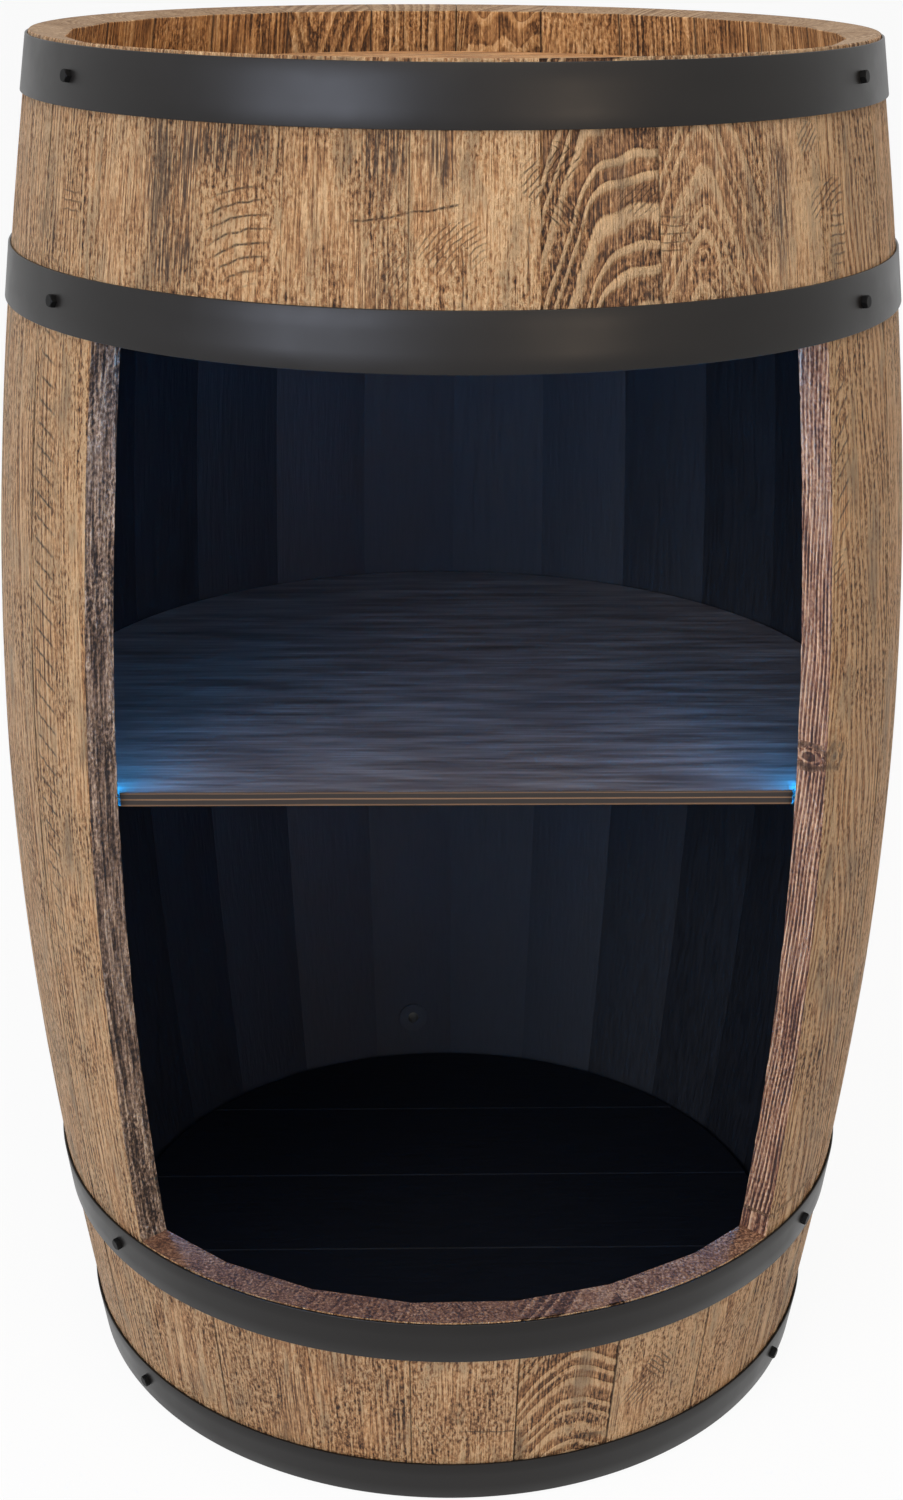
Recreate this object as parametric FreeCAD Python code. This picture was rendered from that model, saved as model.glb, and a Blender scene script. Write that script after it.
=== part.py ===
import FreeCAD, Part
import os
from math import cos, hypot, pi, radians, sin, tan

from FreeCAD import Vector

# Barrel bar cabinet: a coopered barrel stood on end, open at the front, with one shelf and a light strip.
# Millimetres. +Z is up and the opening faces -Y. Angles are in degrees round the barrel, 0 at the
# middle of the opening and growing towards +X.

# The barrel
barrel_height = 800.0
belly_radius = 265.0  # outside of the wood, half-way up
end_radius = 228.0  # outside of the wood, at both ends
belly_fullness = 1.15  # 1 is an even bulge; more bends the staves most at the belly
stave_thickness = 18.5  # at its long edges; the inner face is flat across, so the middle is thicker
stave_arris = 0.6  # bevel on the long outer edges of a stave
front_stave_widths = [12.6, 14.1, 14.5, 14.5, 14.0, 15.0, 10.3]  # degrees, cut away for the opening
full_stave_widths = [
    16.2, 16.3, 11.5, 14.1, 14.1, 15.0, 14.9, 14.1, 14.7,
    14.7, 15.0, 14.8, 13.4, 13.4, 15.8, 17.0, 17.0, 13.0,
]

# The hoops
low_hoop_width = 27.0  # the two below the opening
high_hoop_width = 29.0  # the two above it
hoop_thickness = 1.5
hoop_gap = 0.05  # between the strip and the wood
end_hoop_inset = 1.5  # from the barrel's end to the edge of the nearest hoop
quarter_hoop_inset = 109.0  # from the barrel's end to the far hoops' outer edge
lap_angle = 170.0  # where a hoop's two ends overlap
lap_half_width = 5.0  # degrees
rivet_spread = 2.4  # degrees, from the middle of the lap
rivet_radius = 2.0
rivet_head_radius = 4.0
rivet_head_height = 2.0
rivet_length = 2.9  # through both ends of the strip, just short of the wood

# Hexagon-head screws through the hoops: in the middle of these full staves round the back, and at
# these angles in the staves beside the opening, where they were drilled by eye
screwed_staves = [3, 7, 10, 14]
front_screw_angles = {
    "hoop_bottom": (-54.0, 60.3),
    "hoop_lower": (-53.3, 59.0),
    "hoop_upper": (-55.5, 55.8),
    "hoop_top": (-55.7, 59.5),
}
screw_radius = 2.0
screw_length = 16.0
screw_head_across_flats = 6.2
screw_head_height = 3.0
screw_head_bevel = 0.7

# The opening
saw_gap = 0.3  # from a far hoop's edge to the sawn ends of the short staves

# The heads: boards dowelled edge to edge, held in a groove round the staves
head_recess = 27.0
head_thickness = 18.0
tongue_thickness = 6.0
groove_depth = 4.0
tongue_clearance = 0.4
head_bevel = 7.0
head_board_count = 5
board_arris = 0.8
dowel_radius = 4.0
dowel_length = 50.0
dowel_spread = 90.0

# The shelf and its cleats
shelf_top = 417.0
shelf_thickness = 8.0
shelf_clearance = 0.9
shelf_front = 160.0  # from the barrel's axis to the straight front edge
cleat_staves = {"left": 15, "right": 2, "back": 9}  # full staves that carry one
cleat_width = 46.0
cleat_depth = 18.0
cleat_height = 24.0
cleat_screw_spread = 14.0  # from the cleat's middle
cleat_screw_radius = 2.0
cleat_screw_head_radius = 4.0
cleat_screw_length = 30.0

# The light strip, stuck to the inside of the staves round the opening
tape_width = 10.0
tape_thickness = 0.8
glue_gap = 0.05  # between the wood and what is stuck on it
tape_margin = 5.0  # from the edge of the opening to the tape, at its lower end
tape_foot = 7.0  # from the sawn top of the apron up to the tape's lower end
chip_side = 5.0
chip_height = 1.5
chip_lift = 0.03  # clears the hollow curve of the tape up the wall
chip_pitch = 16.7
shelf_notch_clearance = 1.5

# The light's controller and the lead to it
controller_stave = 1
controller_height = 90.0  # above the floor, to its middle
controller_size = Vector(30.0, 62.0, 13.0)  # round the wall, up the wall, off the wall
controller_corner = 2.5
socket_radius = 2.8
socket_depth = 9.0
eye_radius = 3.0
eye_height = 2.0
lead_radius = 1.6
lead_bend_share = 0.45
lead_height = 74.0  # above the floor, where the lead meets the controller
lead_entry = 1.5  # how far the lead goes in

# The rubber grommet for the supply cable, low at the back
grommet_stave = 9
grommet_height = 70.0
grommet_bore_radius = 4.0
grommet_sleeve_radius = 7.0
grommet_flange_radius = 10.5
grommet_flange_thickness = 2.0
flange_seat = 0.3  # how far a flange sinks into the curved wood

# Worked out from the above
up = Vector(0, 0, 1)
centre = Vector(0, 0, 0)
half_height = barrel_height / 2
opening_half_angle = sum(front_stave_widths) / 2
profile_spans = 8
overcut = 1.0  # how far a cutter reaches past what it cuts
hoops = {  # lower edge and width
    "hoop_bottom": (end_hoop_inset, low_hoop_width),
    "hoop_lower": (quarter_hoop_inset, low_hoop_width),
    "hoop_upper": (barrel_height - quarter_hoop_inset - high_hoop_width, high_hoop_width),
    "hoop_top": (barrel_height - end_hoop_inset - high_hoop_width, high_hoop_width),
}
apron_top = quarter_hoop_inset + low_hoop_width + saw_gap
header_bottom = barrel_height - quarter_hoop_inset - high_hoop_width - saw_gap


def outer_radius(z):
    """Outside of the wood at a height."""
    share = (z - half_height) / half_height
    bulge = belly_fullness * share**2 - (belly_fullness - 1) * share**4
    return belly_radius - (belly_radius - end_radius) * bulge


def outer_slope(z):
    """How fast the outside radius grows with height."""
    share = (z - half_height) / half_height
    bulge = 2 * belly_fullness * share - 4 * (belly_fullness - 1) * share**3
    return -(belly_radius - end_radius) * bulge / half_height


def inner_radius(z):
    """Inside of the wood, at a stave's long edges."""
    return outer_radius(z) - stave_thickness


def blank_inside(z):
    """Inside of a stave's blank, before its inner face is planed flat."""
    return inner_radius(z) - stave_thickness


def hollow_radius(z):
    """Largest circle that clears the flat inner face of every stave."""
    widest = max(front_stave_widths + full_stave_widths)
    return inner_radius(z) * cos(radians(widest) / 2)


def hoop_inside(z):
    return outer_radius(z) + hoop_gap


def hoop_outside(z):
    return hoop_inside(z) + hoop_thickness


def hoop_lap_outside(z):
    return hoop_outside(z) + hoop_thickness


# The object's box is centred over the origin. The opening takes away the belly's front, so the
# barrel's axis stands a little in front of the box's middle.
front_reach = hoop_outside(header_bottom + saw_gap)
axis_y = (front_reach - belly_radius) / 2


def radial(angle):
    """Unit vector from the axis towards an angle."""
    return Vector(sin(radians(angle)), -cos(radians(angle)), 0)


def sideways(angle):
    """Unit vector across the wall at an angle, towards larger angles."""
    return Vector(cos(radians(angle)), sin(radians(angle)), 0)


def meridian(radius_at, z_low, z_high, spans):
    """Edge up the barrel in the plane of angle 0, straight if it has one span."""
    heights = [z_low + (z_high - z_low) * i / spans for i in range(spans + 1)]
    points = [radial(0) * radius_at(z) + up * z for z in heights]
    if spans == 1:
        return Part.LineSegment(points[0], points[-1]).toShape()
    curve = Part.BSplineCurve()
    curve.interpolate(points)
    return curve.toShape()


def turned(face, angle_from, angle_to):
    """Solid swept by a face of the plane of angle 0, from one angle to another."""
    start = face.copy()
    start.rotate(centre, up, angle_from)
    solid = start.revolve(centre, up, angle_to - angle_from)
    if solid.Volume < 0:
        solid.reverse()
    return solid


def wall_section(inner_at, outer_at, z_low, z_high, spans):
    """Face of the plane of angle 0 between two profiles and two heights."""
    inner = meridian(inner_at, z_low, z_high, spans)
    outer = meridian(outer_at, z_low, z_high, spans)
    bottom = Part.LineSegment(inner.Vertexes[0].Point, outer.Vertexes[0].Point).toShape()
    top = Part.LineSegment(inner.Vertexes[-1].Point, outer.Vertexes[-1].Point).toShape()
    return Part.Face(Part.Wire([bottom, outer, top, inner]))


def band(inner_at, outer_at, z_low, z_high, angle_from, angle_to, spans):
    """Piece of wall that is round across, between two angles."""
    return turned(wall_section(inner_at, outer_at, z_low, z_high, spans), angle_from, angle_to)


def slab(inner_at, outer_at, z_low, z_high, angle, sides, spans):
    """Piece of wall that is flat across, between two distances sideways from an angle's plane."""
    face = wall_section(inner_at, outer_at, z_low, z_high, spans)
    face.translate(Vector(sides[0], 0, 0))
    solid = face.extrude(Vector(sides[1] - sides[0], 0, 0))
    solid.rotate(centre, up, angle)
    return solid


def ring(outline, angle_from=0.0, angle_to=360.0):
    """Solid of revolution of a (radius, height) outline."""
    points = [radial(0) * radius + up * z for radius, z in outline]
    return turned(Part.Face(Part.makePolygon(points + points[:1])), angle_from, angle_to)


def placed(shape, angle, z, radius, outward=True, side=0.0):
    """Sets a shape on the wall: its X runs round the barrel, its Y up the wall, its Z off the wall."""
    away = radial(angle) - up * outer_slope(z)
    climb = up + radial(angle) * outer_slope(z)
    away.normalize()
    climb.normalize()
    if not outward:
        away = away * -1
    turn = FreeCAD.Rotation(climb.cross(away), climb, away, "ZXY")
    origin = radial(angle) * radius + sideways(angle) * side + up * z
    spot = FreeCAD.Placement(origin, turn)
    return shape.transformed(spot.toMatrix(), True)


def rounded_route(points, share):
    """Wire of straight runs joined by tangent arcs, each as large as its two runs allow."""
    edges = []
    start = points[0]
    for before, corner, after in zip(points, points[1:], points[2:]):
        arriving = before - corner
        leaving = after - corner
        turn = pi - arriving.getAngle(leaving)
        reach = share * min(arriving.Length, leaving.Length)
        radius = reach / tan(turn / 2)
        arriving.normalize()
        leaving.normalize()
        arc_start = corner + arriving * reach
        arc_end = corner + leaving * reach
        bisector = arriving + leaving
        bisector.normalize()
        arc_middle = corner + bisector * (hypot(radius, reach) - radius)
        edges.append(Part.LineSegment(start, arc_start).toShape())
        edges.append(Part.Arc(arc_start, arc_middle, arc_end).toShape())
        start = arc_end
    edges.append(Part.LineSegment(start, points[-1]).toShape())
    return Part.Wire(edges)


def export(shape, node):
    """Writes one node, with the barrel's axis moved to its place in the object's frame."""
    moved = shape.copy()
    moved.translate(Vector(0, axis_y, 0))
    moved.exportStep(f"parts/{node}.step")
    print(f"{node}: {len(moved.Solids)} solids, {moved.Volume / 1000:.1f} cm3, valid {moved.isValid()}")


# Fasteners, each with its point of entry at the origin and its head along +Z


def hexagon_screw():
    corner_radius = screw_head_across_flats / 2 / cos(pi / 6)
    corners = [
        Vector(corner_radius * cos(pi / 3 * i), corner_radius * sin(pi / 3 * i), 0)
        for i in range(6)
    ]
    hexagon = Part.Face(Part.makePolygon(corners + corners[:1])).extrude(up * screw_head_height)
    bevel_height = corner_radius + screw_head_height - screw_head_bevel
    bevel = Part.makeCone(bevel_height, 0, bevel_height)
    head = hexagon.common(bevel)
    shank = Part.makeCylinder(screw_radius, screw_length, up * -screw_length)
    return head.fuse(shank).removeSplitter()


def countersunk_screw():
    countersink = cleat_screw_head_radius - cleat_screw_radius
    foot = up * -countersink
    head = Part.makeCone(cleat_screw_radius, cleat_screw_head_radius, countersink, foot)
    shank = Part.makeCylinder(cleat_screw_radius, cleat_screw_length, up * -cleat_screw_length)
    return head.fuse(shank).removeSplitter()


def rivet():
    shank = Part.makeCylinder(rivet_radius, rivet_length, up * -rivet_length)
    cap_radius = (rivet_head_radius**2 + rivet_head_height**2) / (2 * rivet_head_height)
    ball = Part.makeSphere(cap_radius, up * (rivet_head_height - cap_radius))
    trim = Part.makeCylinder(rivet_head_radius, rivet_head_height)
    return ball.common(trim).fuse(shank).removeSplitter()


# Where the fasteners go


def stave_spans(widths, first_angle):
    """(from, to) of neighbouring staves, starting at an angle."""
    spans = []
    start = first_angle
    for width in widths:
        spans.append((start, start + width))
        start += width
    return spans


front_spans = stave_spans(front_stave_widths, -opening_half_angle)
full_spans = stave_spans(full_stave_widths, opening_half_angle)
jambs = [(full_spans[0], -1), (full_spans[-1], 1)]  # stave beside the opening, opening's side of it


def middle(span):
    return (span[0] + span[1]) / 2


def half_angle(span):
    return radians(span[1] - span[0]) / 2


def flat_face(span, depth=0.0):
    """Profile of a stave's flat inner face, or of a surface that lies a depth inside it."""
    share = cos(half_angle(span))
    return lambda z: inner_radius(z) * share - depth


def flat_half_width(span, z):
    return inner_radius(z) * sin(half_angle(span))


def on_flat(shape, span, z, depth=0.0, side=0.0):
    """Sets a shape on a stave's flat inner face, or a depth inside it, with its Z into the barrel."""
    return placed(shape, middle(span), z, flat_face(span, depth)(z), outward=False, side=side)


def make_hoop_screws():
    screws = []
    for node, (z_low, width) in hoops.items():
        z = z_low + width / 2
        angles = [middle(full_spans[index]) for index in screwed_staves]
        for angle in angles + list(front_screw_angles[node]):
            screws.append(placed(hexagon_screw(), angle, z, hoop_outside(z)))
    return screws


def make_rivets():
    rivets = []
    for z_low, width in hoops.values():
        z = z_low + width / 2
        for angle in (lap_angle - rivet_spread, lap_angle + rivet_spread):
            rivets.append(placed(rivet(), angle, z, hoop_lap_outside(z)))
    return rivets


def make_cleat_screws():
    z = shelf_top - shelf_thickness - cleat_height / 2
    screws = []
    for index in cleat_staves.values():
        for side in (-cleat_screw_spread, cleat_screw_spread):
            screws.append(on_flat(countersunk_screw(), full_spans[index], z, cleat_depth, side))
    return screws


# The pieces


def croze_grooves():
    """The two rings cut out of the staves for the heads' tongues."""
    grooves = []
    for z_low in tongue_heights():
        z = z_low + tongue_thickness / 2
        bottom = inner_radius(z) + groove_depth
        mouth = inner_radius(z) - groove_depth
        z_high = z_low + tongue_thickness
        grooves.append(ring([(mouth, z_low), (bottom, z_low), (bottom, z_high), (mouth, z_high)]))
    return grooves


def tongue_heights():
    """Lower edge of the bottom and the top head's tongue."""
    low = head_recess + (head_thickness - tongue_thickness) / 2
    return low, barrel_height - low - tongue_thickness


def bevelled(stave):
    """Takes the arris off the long outer edges, so that the joints show as fine grooves."""
    long_edges = []
    for edge in stave.Edges:
        box = edge.BoundBox
        halfway = edge.valueAt((edge.FirstParameter + edge.LastParameter) / 2)
        radius = hypot(halfway.x, halfway.y)
        on_outside = abs(radius - outer_radius(halfway.z)) < stave_arris / 2
        if on_outside and box.ZLength > stave_arris:
            long_edges.append(edge)
    return stave.makeChamfer(stave_arris, long_edges)


def rim_cutter():
    """What is sawn off the staves' upper ends, square to their own length."""
    slope = -outer_slope(barrel_height)
    inside = blank_inside(barrel_height) - stave_thickness
    outside = end_radius + overcut
    top = barrel_height + overcut
    return ring([
        (inside, barrel_height + (inside - end_radius) * slope),
        (outside, barrel_height + (outside - end_radius) * slope),
        (outside, top),
        (inside, top),
    ])


def make_stave(span, z_low, z_high, cutters):
    """Round outside, flat across inside, with its long edges on planes through the axis."""
    blank = bevelled(band(blank_inside, outer_radius, z_low, z_high, *span, profile_spans))
    reach = belly_radius * tan(half_angle(span))
    foot = z_low - overcut
    head = z_high + overcut
    core = flat_face(span, 2 * stave_thickness)
    waste = slab(core, flat_face(span), foot, head, middle(span), (-reach, reach), profile_spans)
    near = [cutter for cutter in cutters if cutter.BoundBox.intersect(blank.BoundBox)]
    return blank.cut([waste] + near)


def make_hoop(z_low, width, cutters):
    z_high = z_low + width
    lap_from = lap_angle - lap_half_width
    lap_to = lap_angle + lap_half_width
    strip = band(hoop_inside, hoop_outside, z_low, z_high, lap_to, lap_from + 360, 1)
    lap = band(hoop_inside, hoop_lap_outside, z_low, z_high, lap_from, lap_to, 1)
    return strip.fuse(lap).cut(cutters)


def head_outline(z_low, bevel_up):
    """(radius, height) outline of a head: the groove holds its tongue, and its outer face is bevelled."""
    z_high = z_low + head_thickness
    tongue_low = z_low + (head_thickness - tongue_thickness) / 2
    tongue_high = tongue_low + tongue_thickness
    tongue_middle = (tongue_low + tongue_high) / 2
    tongue_radius = inner_radius(tongue_middle) + groove_depth - tongue_clearance
    side_radius = min(hollow_radius(z_low), hollow_radius(z_high)) - tongue_clearance
    low_radius = side_radius if bevel_up else side_radius - head_bevel
    high_radius = side_radius - head_bevel if bevel_up else side_radius
    return [
        (0, z_low),
        (low_radius, z_low),
        (side_radius, tongue_low),
        (tongue_radius, tongue_low),
        (tongue_radius, tongue_high),
        (side_radius, tongue_high),
        (high_radius, z_high),
        (0, z_high),
    ]


def head_seams():
    """Where the boards of a head meet, as distances along Y, and the outer edges at both ends."""
    reach = inner_radius(head_recess) + groove_depth
    return [-reach + 2 * reach * i / head_board_count for i in range(head_board_count + 1)]


def make_dowels(z):
    dowels = []
    for seam in head_seams()[1:-1]:
        for x in (-dowel_spread, dowel_spread):
            foot = Vector(x, seam - dowel_length / 2, z)
            dowels.append(Part.makeCylinder(dowel_radius, dowel_length, foot, Vector(0, 1, 0)))
    return dowels


def make_head_boards(z_low, bevel_up, show_face, dowels):
    """Boards of one head, front to back, with a fine groove along each seam of the face that shows."""
    head = ring(head_outline(z_low, bevel_up))
    seams = head_seams()
    inward = -board_arris if show_face > z_low else board_arris
    reach = seams[-1]
    grooves = []
    for seam in seams[1:-1]:
        corners = [
            Vector(-reach, seam - board_arris, show_face),
            Vector(-reach, seam + board_arris, show_face),
            Vector(-reach, seam, show_face + inward),
        ]
        prism = Part.Face(Part.makePolygon(corners + corners[:1])).extrude(Vector(2 * reach, 0, 0))
        grooves.append(prism)
    head = head.cut(grooves + dowels)
    boards = []
    for near, far in zip(seams, seams[1:]):
        blank = Part.makeBox(2 * reach, far - near, head_thickness, Vector(-reach, near, z_low))
        boards.append(head.common(blank))
    return boards


def make_shelf():
    """Round plywood board with a straight front edge, notched at both ends for the light strip."""
    z_low = shelf_top - shelf_thickness
    radius = hollow_radius(z_low) - shelf_clearance
    disc = Part.makeCylinder(radius, shelf_thickness, up * z_low)
    corner = Vector(-radius, -shelf_front - radius, z_low)
    front = Part.makeBox(2 * radius, radius, shelf_thickness, corner)
    notch_depth = glue_gap + tape_thickness + chip_height + shelf_notch_clearance
    notches = []
    for span, towards in jambs:
        far_side = towards * (tape_reach(span) - tape_width - shelf_notch_clearance)
        sides = sorted((far_side, towards * radius))
        notch_inside = flat_face(span, notch_depth)
        notches.append(slab(notch_inside, outer_radius, z_low, shelf_top, middle(span), sides, 1))
    return disc.cut([front] + notches)


def make_cleat(span, cutters):
    """Block with a flat back, in the middle of a stave."""
    z_high = shelf_top - shelf_thickness
    z_low = z_high - cleat_height
    sides = (-cleat_width / 2, cleat_width / 2)
    inside = flat_face(span, cleat_depth)
    return slab(inside, flat_face(span), z_low, z_high, middle(span), sides, 1).cut(cutters)


def tape_reach(span):
    """From the middle of a stave beside the opening to the edge of its tape next to the opening."""
    return flat_half_width(span, apron_top) - tape_margin


def tape_ends():
    """Lower end of the upright runs, and lower and upper edge of the run over the opening."""
    low = apron_top + tape_foot
    arch_low = header_bottom + tape_margin + saw_gap
    return low, arch_low, arch_low + tape_width


def tape_strip(span, z_low, z_high, sides, spans):
    inside = flat_face(span, glue_gap + tape_thickness)
    outside = flat_face(span, glue_gap)
    return slab(inside, outside, z_low, z_high, middle(span), sides, spans)


def make_tape():
    """Two upright runs, and one over the opening that bends at every joint between two staves."""
    low, arch_low, arch_high = tape_ends()
    runs = []
    arch_strips = [(span, (-belly_radius, belly_radius)) for span in front_spans]
    for span, towards in jambs:
        near_side = towards * tape_reach(span)
        far_side = near_side - towards * tape_width
        runs.append(tape_strip(span, low, arch_low, sorted((near_side, far_side)), profile_spans))
        arch_strips.append((span, sorted((far_side, towards * belly_radius))))
    pieces = []
    for span, sides in arch_strips:
        mitred = band(blank_inside, outer_radius, arch_low, arch_high, *span, 1)
        pieces.append(tape_strip(span, arch_low, arch_high, sides, 1).common(mitred))
    runs.append(pieces[0].fuse(pieces[1:]))
    return Part.makeCompound(runs)


def make_chips():
    """Light chips at an even pitch along the three runs of tape."""
    low, arch_low, arch_high = tape_ends()
    corner = Vector(-chip_side / 2, -chip_side / 2, chip_lift)
    blank = Part.makeBox(chip_side, chip_side, chip_height, corner)
    depth = glue_gap + tape_thickness
    chips = []
    for i in range(int((arch_low - low) / chip_pitch)):
        z = low + chip_pitch * (i + 0.5)
        for span, towards in jambs:
            side = towards * (tape_reach(span) - tape_width / 2)
            chips.append(on_flat(blank, span, z, depth, side))
    arch_z = (arch_low + arch_high) / 2
    for span in front_spans:
        count = int(2 * flat_half_width(span, arch_z) / chip_pitch)
        for i in range(count):
            side = chip_pitch * (i + 0.5 - count / 2)
            chips.append(on_flat(blank, span, arch_z, depth, side))
    return Part.makeCompound(chips)


def make_controller(lead):
    """Rounded box on the wall beside the opening, with the supply socket in its upper end."""
    size = controller_size
    sunk = controller_corner
    corner = Vector(-size.x / 2, -size.y / 2, -sunk)
    box = Part.makeBox(size.x, size.y, size.z + sunk, corner)
    box = box.makeFillet(controller_corner, box.Edges)
    foot = Vector(0, size.y / 2 - socket_depth, size.z / 2)
    socket = Part.makeCylinder(socket_radius, socket_depth, foot, Vector(0, 1, 0))
    span = full_spans[controller_stave]
    z = controller_height
    fitted = on_flat(box.cut(socket), span, z)
    face = flat_face(span, glue_gap)
    sides = (-size.x, size.x)
    wall = slab(face, outer_radius, z - size.y, z + size.y, middle(span), sides, profile_spans)
    return fitted.cut([wall, lead])


def make_eye():
    """Dome of the remote control's receiver, on the controller's face."""
    cap_radius = (eye_radius**2 + eye_height**2) / (2 * eye_height)
    ball = Part.makeSphere(cap_radius, up * (eye_height - cap_radius))
    dome = ball.common(Part.makeCylinder(eye_radius, eye_height))
    lifted = dome.translated(Vector(0, 0, controller_size.z))
    return on_flat(lifted, full_spans[controller_stave], controller_height)


def make_lead():
    """Lead from the tape's lower end, down the wall and across into the controller's near side."""
    jamb = full_spans[0]
    depth = lead_radius + glue_gap
    tape_side = tape_width / 2 - tape_reach(jamb)
    controller_side = lead_entry - controller_size.x / 2
    stops = [  # stave, height, depth inside its face, distance sideways from its middle
        (jamb, tape_ends()[0], depth, tape_side),
        (jamb, lead_height, depth, tape_side),
        (full_spans[controller_stave], lead_height, controller_size.z / 2, controller_side),
    ]
    points = []
    for span, z, inset, side in stops:
        wall_point = radial(middle(span)) * flat_face(span, inset)(z)
        points.append(wall_point + sideways(middle(span)) * side + up * z)
    route = rounded_route(points, lead_bend_share)
    direction = route.Edges[0].tangentAt(route.Edges[0].FirstParameter)
    section = Part.Wire(Part.makeCircle(lead_radius, points[0], direction))
    return route.makePipeShell([section], True, False)


def grommet_blank(radius, z_low, z_high):
    return Part.makeCylinder(radius, z_high - z_low, up * z_low)


def make_grommet():
    """Rubber sleeve with a flange inside and outside the wall; the supply cable passes through it."""
    span = full_spans[grommet_stave]
    outside_radius = outer_radius(grommet_height)
    wall = outside_radius - flat_face(span)(grommet_height)
    inside = -wall - grommet_flange_thickness + flange_seat
    outside = grommet_flange_thickness - flange_seat
    sleeve = grommet_blank(grommet_sleeve_radius, inside, outside)
    outer_flange = grommet_blank(grommet_flange_radius, -flange_seat, outside)
    inner_flange = grommet_blank(grommet_flange_radius, inside, -wall + flange_seat)
    bore = grommet_blank(grommet_bore_radius, inside, outside)
    whole = sleeve.fuse([outer_flange, inner_flange]).removeSplitter().cut(bore)
    return placed(whole, middle(span), grommet_height, outside_radius)


def main():
    os.makedirs("parts", exist_ok=True)
    screws = make_hoop_screws()
    rivets = make_rivets()
    cleat_screws = make_cleat_screws()
    grommet = make_grommet()
    drill = grommet_blank(grommet_sleeve_radius, -2 * stave_thickness, stave_thickness)
    drill_angle = middle(full_spans[grommet_stave])
    hole = placed(drill, drill_angle, grommet_height, outer_radius(grommet_height))
    wall_cutters = croze_grooves() + screws + cleat_screws + [grommet, hole, rim_cutter()]

    for number, span in enumerate(full_spans, 1):
        stave = make_stave(span, 0, barrel_height, wall_cutters)
        export(stave, f"stave_{number:02d}")
    for number, span in enumerate(front_spans, 1):
        export(make_stave(span, header_bottom, barrel_height, wall_cutters), f"header_stave_{number}")
        export(make_stave(span, 0, apron_top, wall_cutters), f"apron_stave_{number}")

    for node, (z_low, width) in hoops.items():
        export(make_hoop(z_low, width, screws + rivets), node)
    export(Part.makeCompound(screws), "hoop_screws")
    export(Part.makeCompound(rivets), "hoop_rivets")

    top_low = barrel_height - head_recess - head_thickness
    heads = {
        "floor_board": (head_recess, False, head_recess + head_thickness),
        "top_board": (top_low, True, top_low + head_thickness),
    }
    dowels = []
    for node, (z_low, bevel_up, show_face) in heads.items():
        head_dowels = make_dowels(z_low + head_thickness / 2)
        for number, board in enumerate(make_head_boards(z_low, bevel_up, show_face, head_dowels), 1):
            export(board, f"{node}_{number}")
        dowels += head_dowels
    export(Part.makeCompound(dowels), "head_dowels")

    export(make_shelf(), "shelf")
    for side, index in cleat_staves.items():
        export(make_cleat(full_spans[index], cleat_screws), f"shelf_cleat_{side}")
    export(Part.makeCompound(cleat_screws), "cleat_screws")

    export(make_tape(), "light_tape")
    export(make_chips(), "light_chips")
    lead = make_lead()
    export(lead, "light_lead")
    export(make_controller(lead), "light_controller")
    export(make_eye(), "receiver_eye")
    export(grommet, "cable_grommet")


main()
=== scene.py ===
import math

import bmesh
import bpy
import numpy as np
from mathutils import Matrix, Vector


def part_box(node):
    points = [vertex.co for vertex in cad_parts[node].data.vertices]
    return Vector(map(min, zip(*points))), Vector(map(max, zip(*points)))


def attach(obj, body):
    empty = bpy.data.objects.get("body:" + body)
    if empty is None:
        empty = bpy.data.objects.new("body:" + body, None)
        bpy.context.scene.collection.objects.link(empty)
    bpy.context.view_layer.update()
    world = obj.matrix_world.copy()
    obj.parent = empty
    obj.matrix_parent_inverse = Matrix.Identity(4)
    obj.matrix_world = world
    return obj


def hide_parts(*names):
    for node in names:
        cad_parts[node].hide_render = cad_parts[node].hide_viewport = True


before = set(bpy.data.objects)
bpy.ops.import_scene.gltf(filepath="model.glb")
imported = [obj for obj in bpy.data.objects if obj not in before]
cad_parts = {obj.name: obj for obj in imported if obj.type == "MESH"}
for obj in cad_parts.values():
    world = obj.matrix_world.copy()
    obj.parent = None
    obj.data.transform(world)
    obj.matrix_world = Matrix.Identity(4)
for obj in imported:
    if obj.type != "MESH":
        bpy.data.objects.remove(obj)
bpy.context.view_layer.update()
print("frame loaded")

mm = 0.001


# Small tools for materials

def hexToLinear(text):
    values = [int(text[i:i + 2], 16) / 255 for i in (1, 3, 5)]
    linear = [v / 12.92 if v <= 0.04045 else ((v + 0.055) / 1.055) ** 2.4 for v in values]
    return (*linear, 1.0)


def connect(tree, node, links):
    # what feeds a socket: a node's first output, one named output, or a plain number
    for key, source in links.items():
        if isinstance(source, (int, float)):
            node.inputs[key].default_value = source
        else:
            output = source.outputs[0] if isinstance(source, bpy.types.Node) else source
            tree.links.new(output, node.inputs[key])


def addNode(tree, kind, settings=None, links=None):
    # settings go to sockets by name or number, otherwise to the node itself
    node = tree.nodes.new("ShaderNode" + kind)
    for key, value in (settings or {}).items():
        if key == "stops":
            elements = node.color_ramp.elements
            elements[0].position, elements[0].color = value[0]
            elements[1].position, elements[1].color = value[-1]
            for position, color in value[1:-1]:
                elements.new(position).color = color
        elif isinstance(key, int) or key in node.inputs:
            node.inputs[key].default_value = value
        else:
            setattr(node, key, value)
    connect(tree, node, links or {})
    return node


def newMaterial(name, settings):
    material = bpy.data.materials.new(name)
    material.use_nodes = True
    tree = material.node_tree
    tree.nodes.clear()
    shader = addNode(tree, "BsdfPrincipled", settings)
    addNode(tree, "OutputMaterial", None, {"Surface": shader})
    return material, tree, shader


def grey(value):
    return (value, value, value, 1.0)


# Brushed and stained softwood. A stave carries its own year rings, saw marks and tones in its mesh,
# a flat board works them out from where it is. The numbers below hold for both; where one has the keys 1
# to 4, it takes a value from the range 1..2 to the range 3..4.

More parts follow.
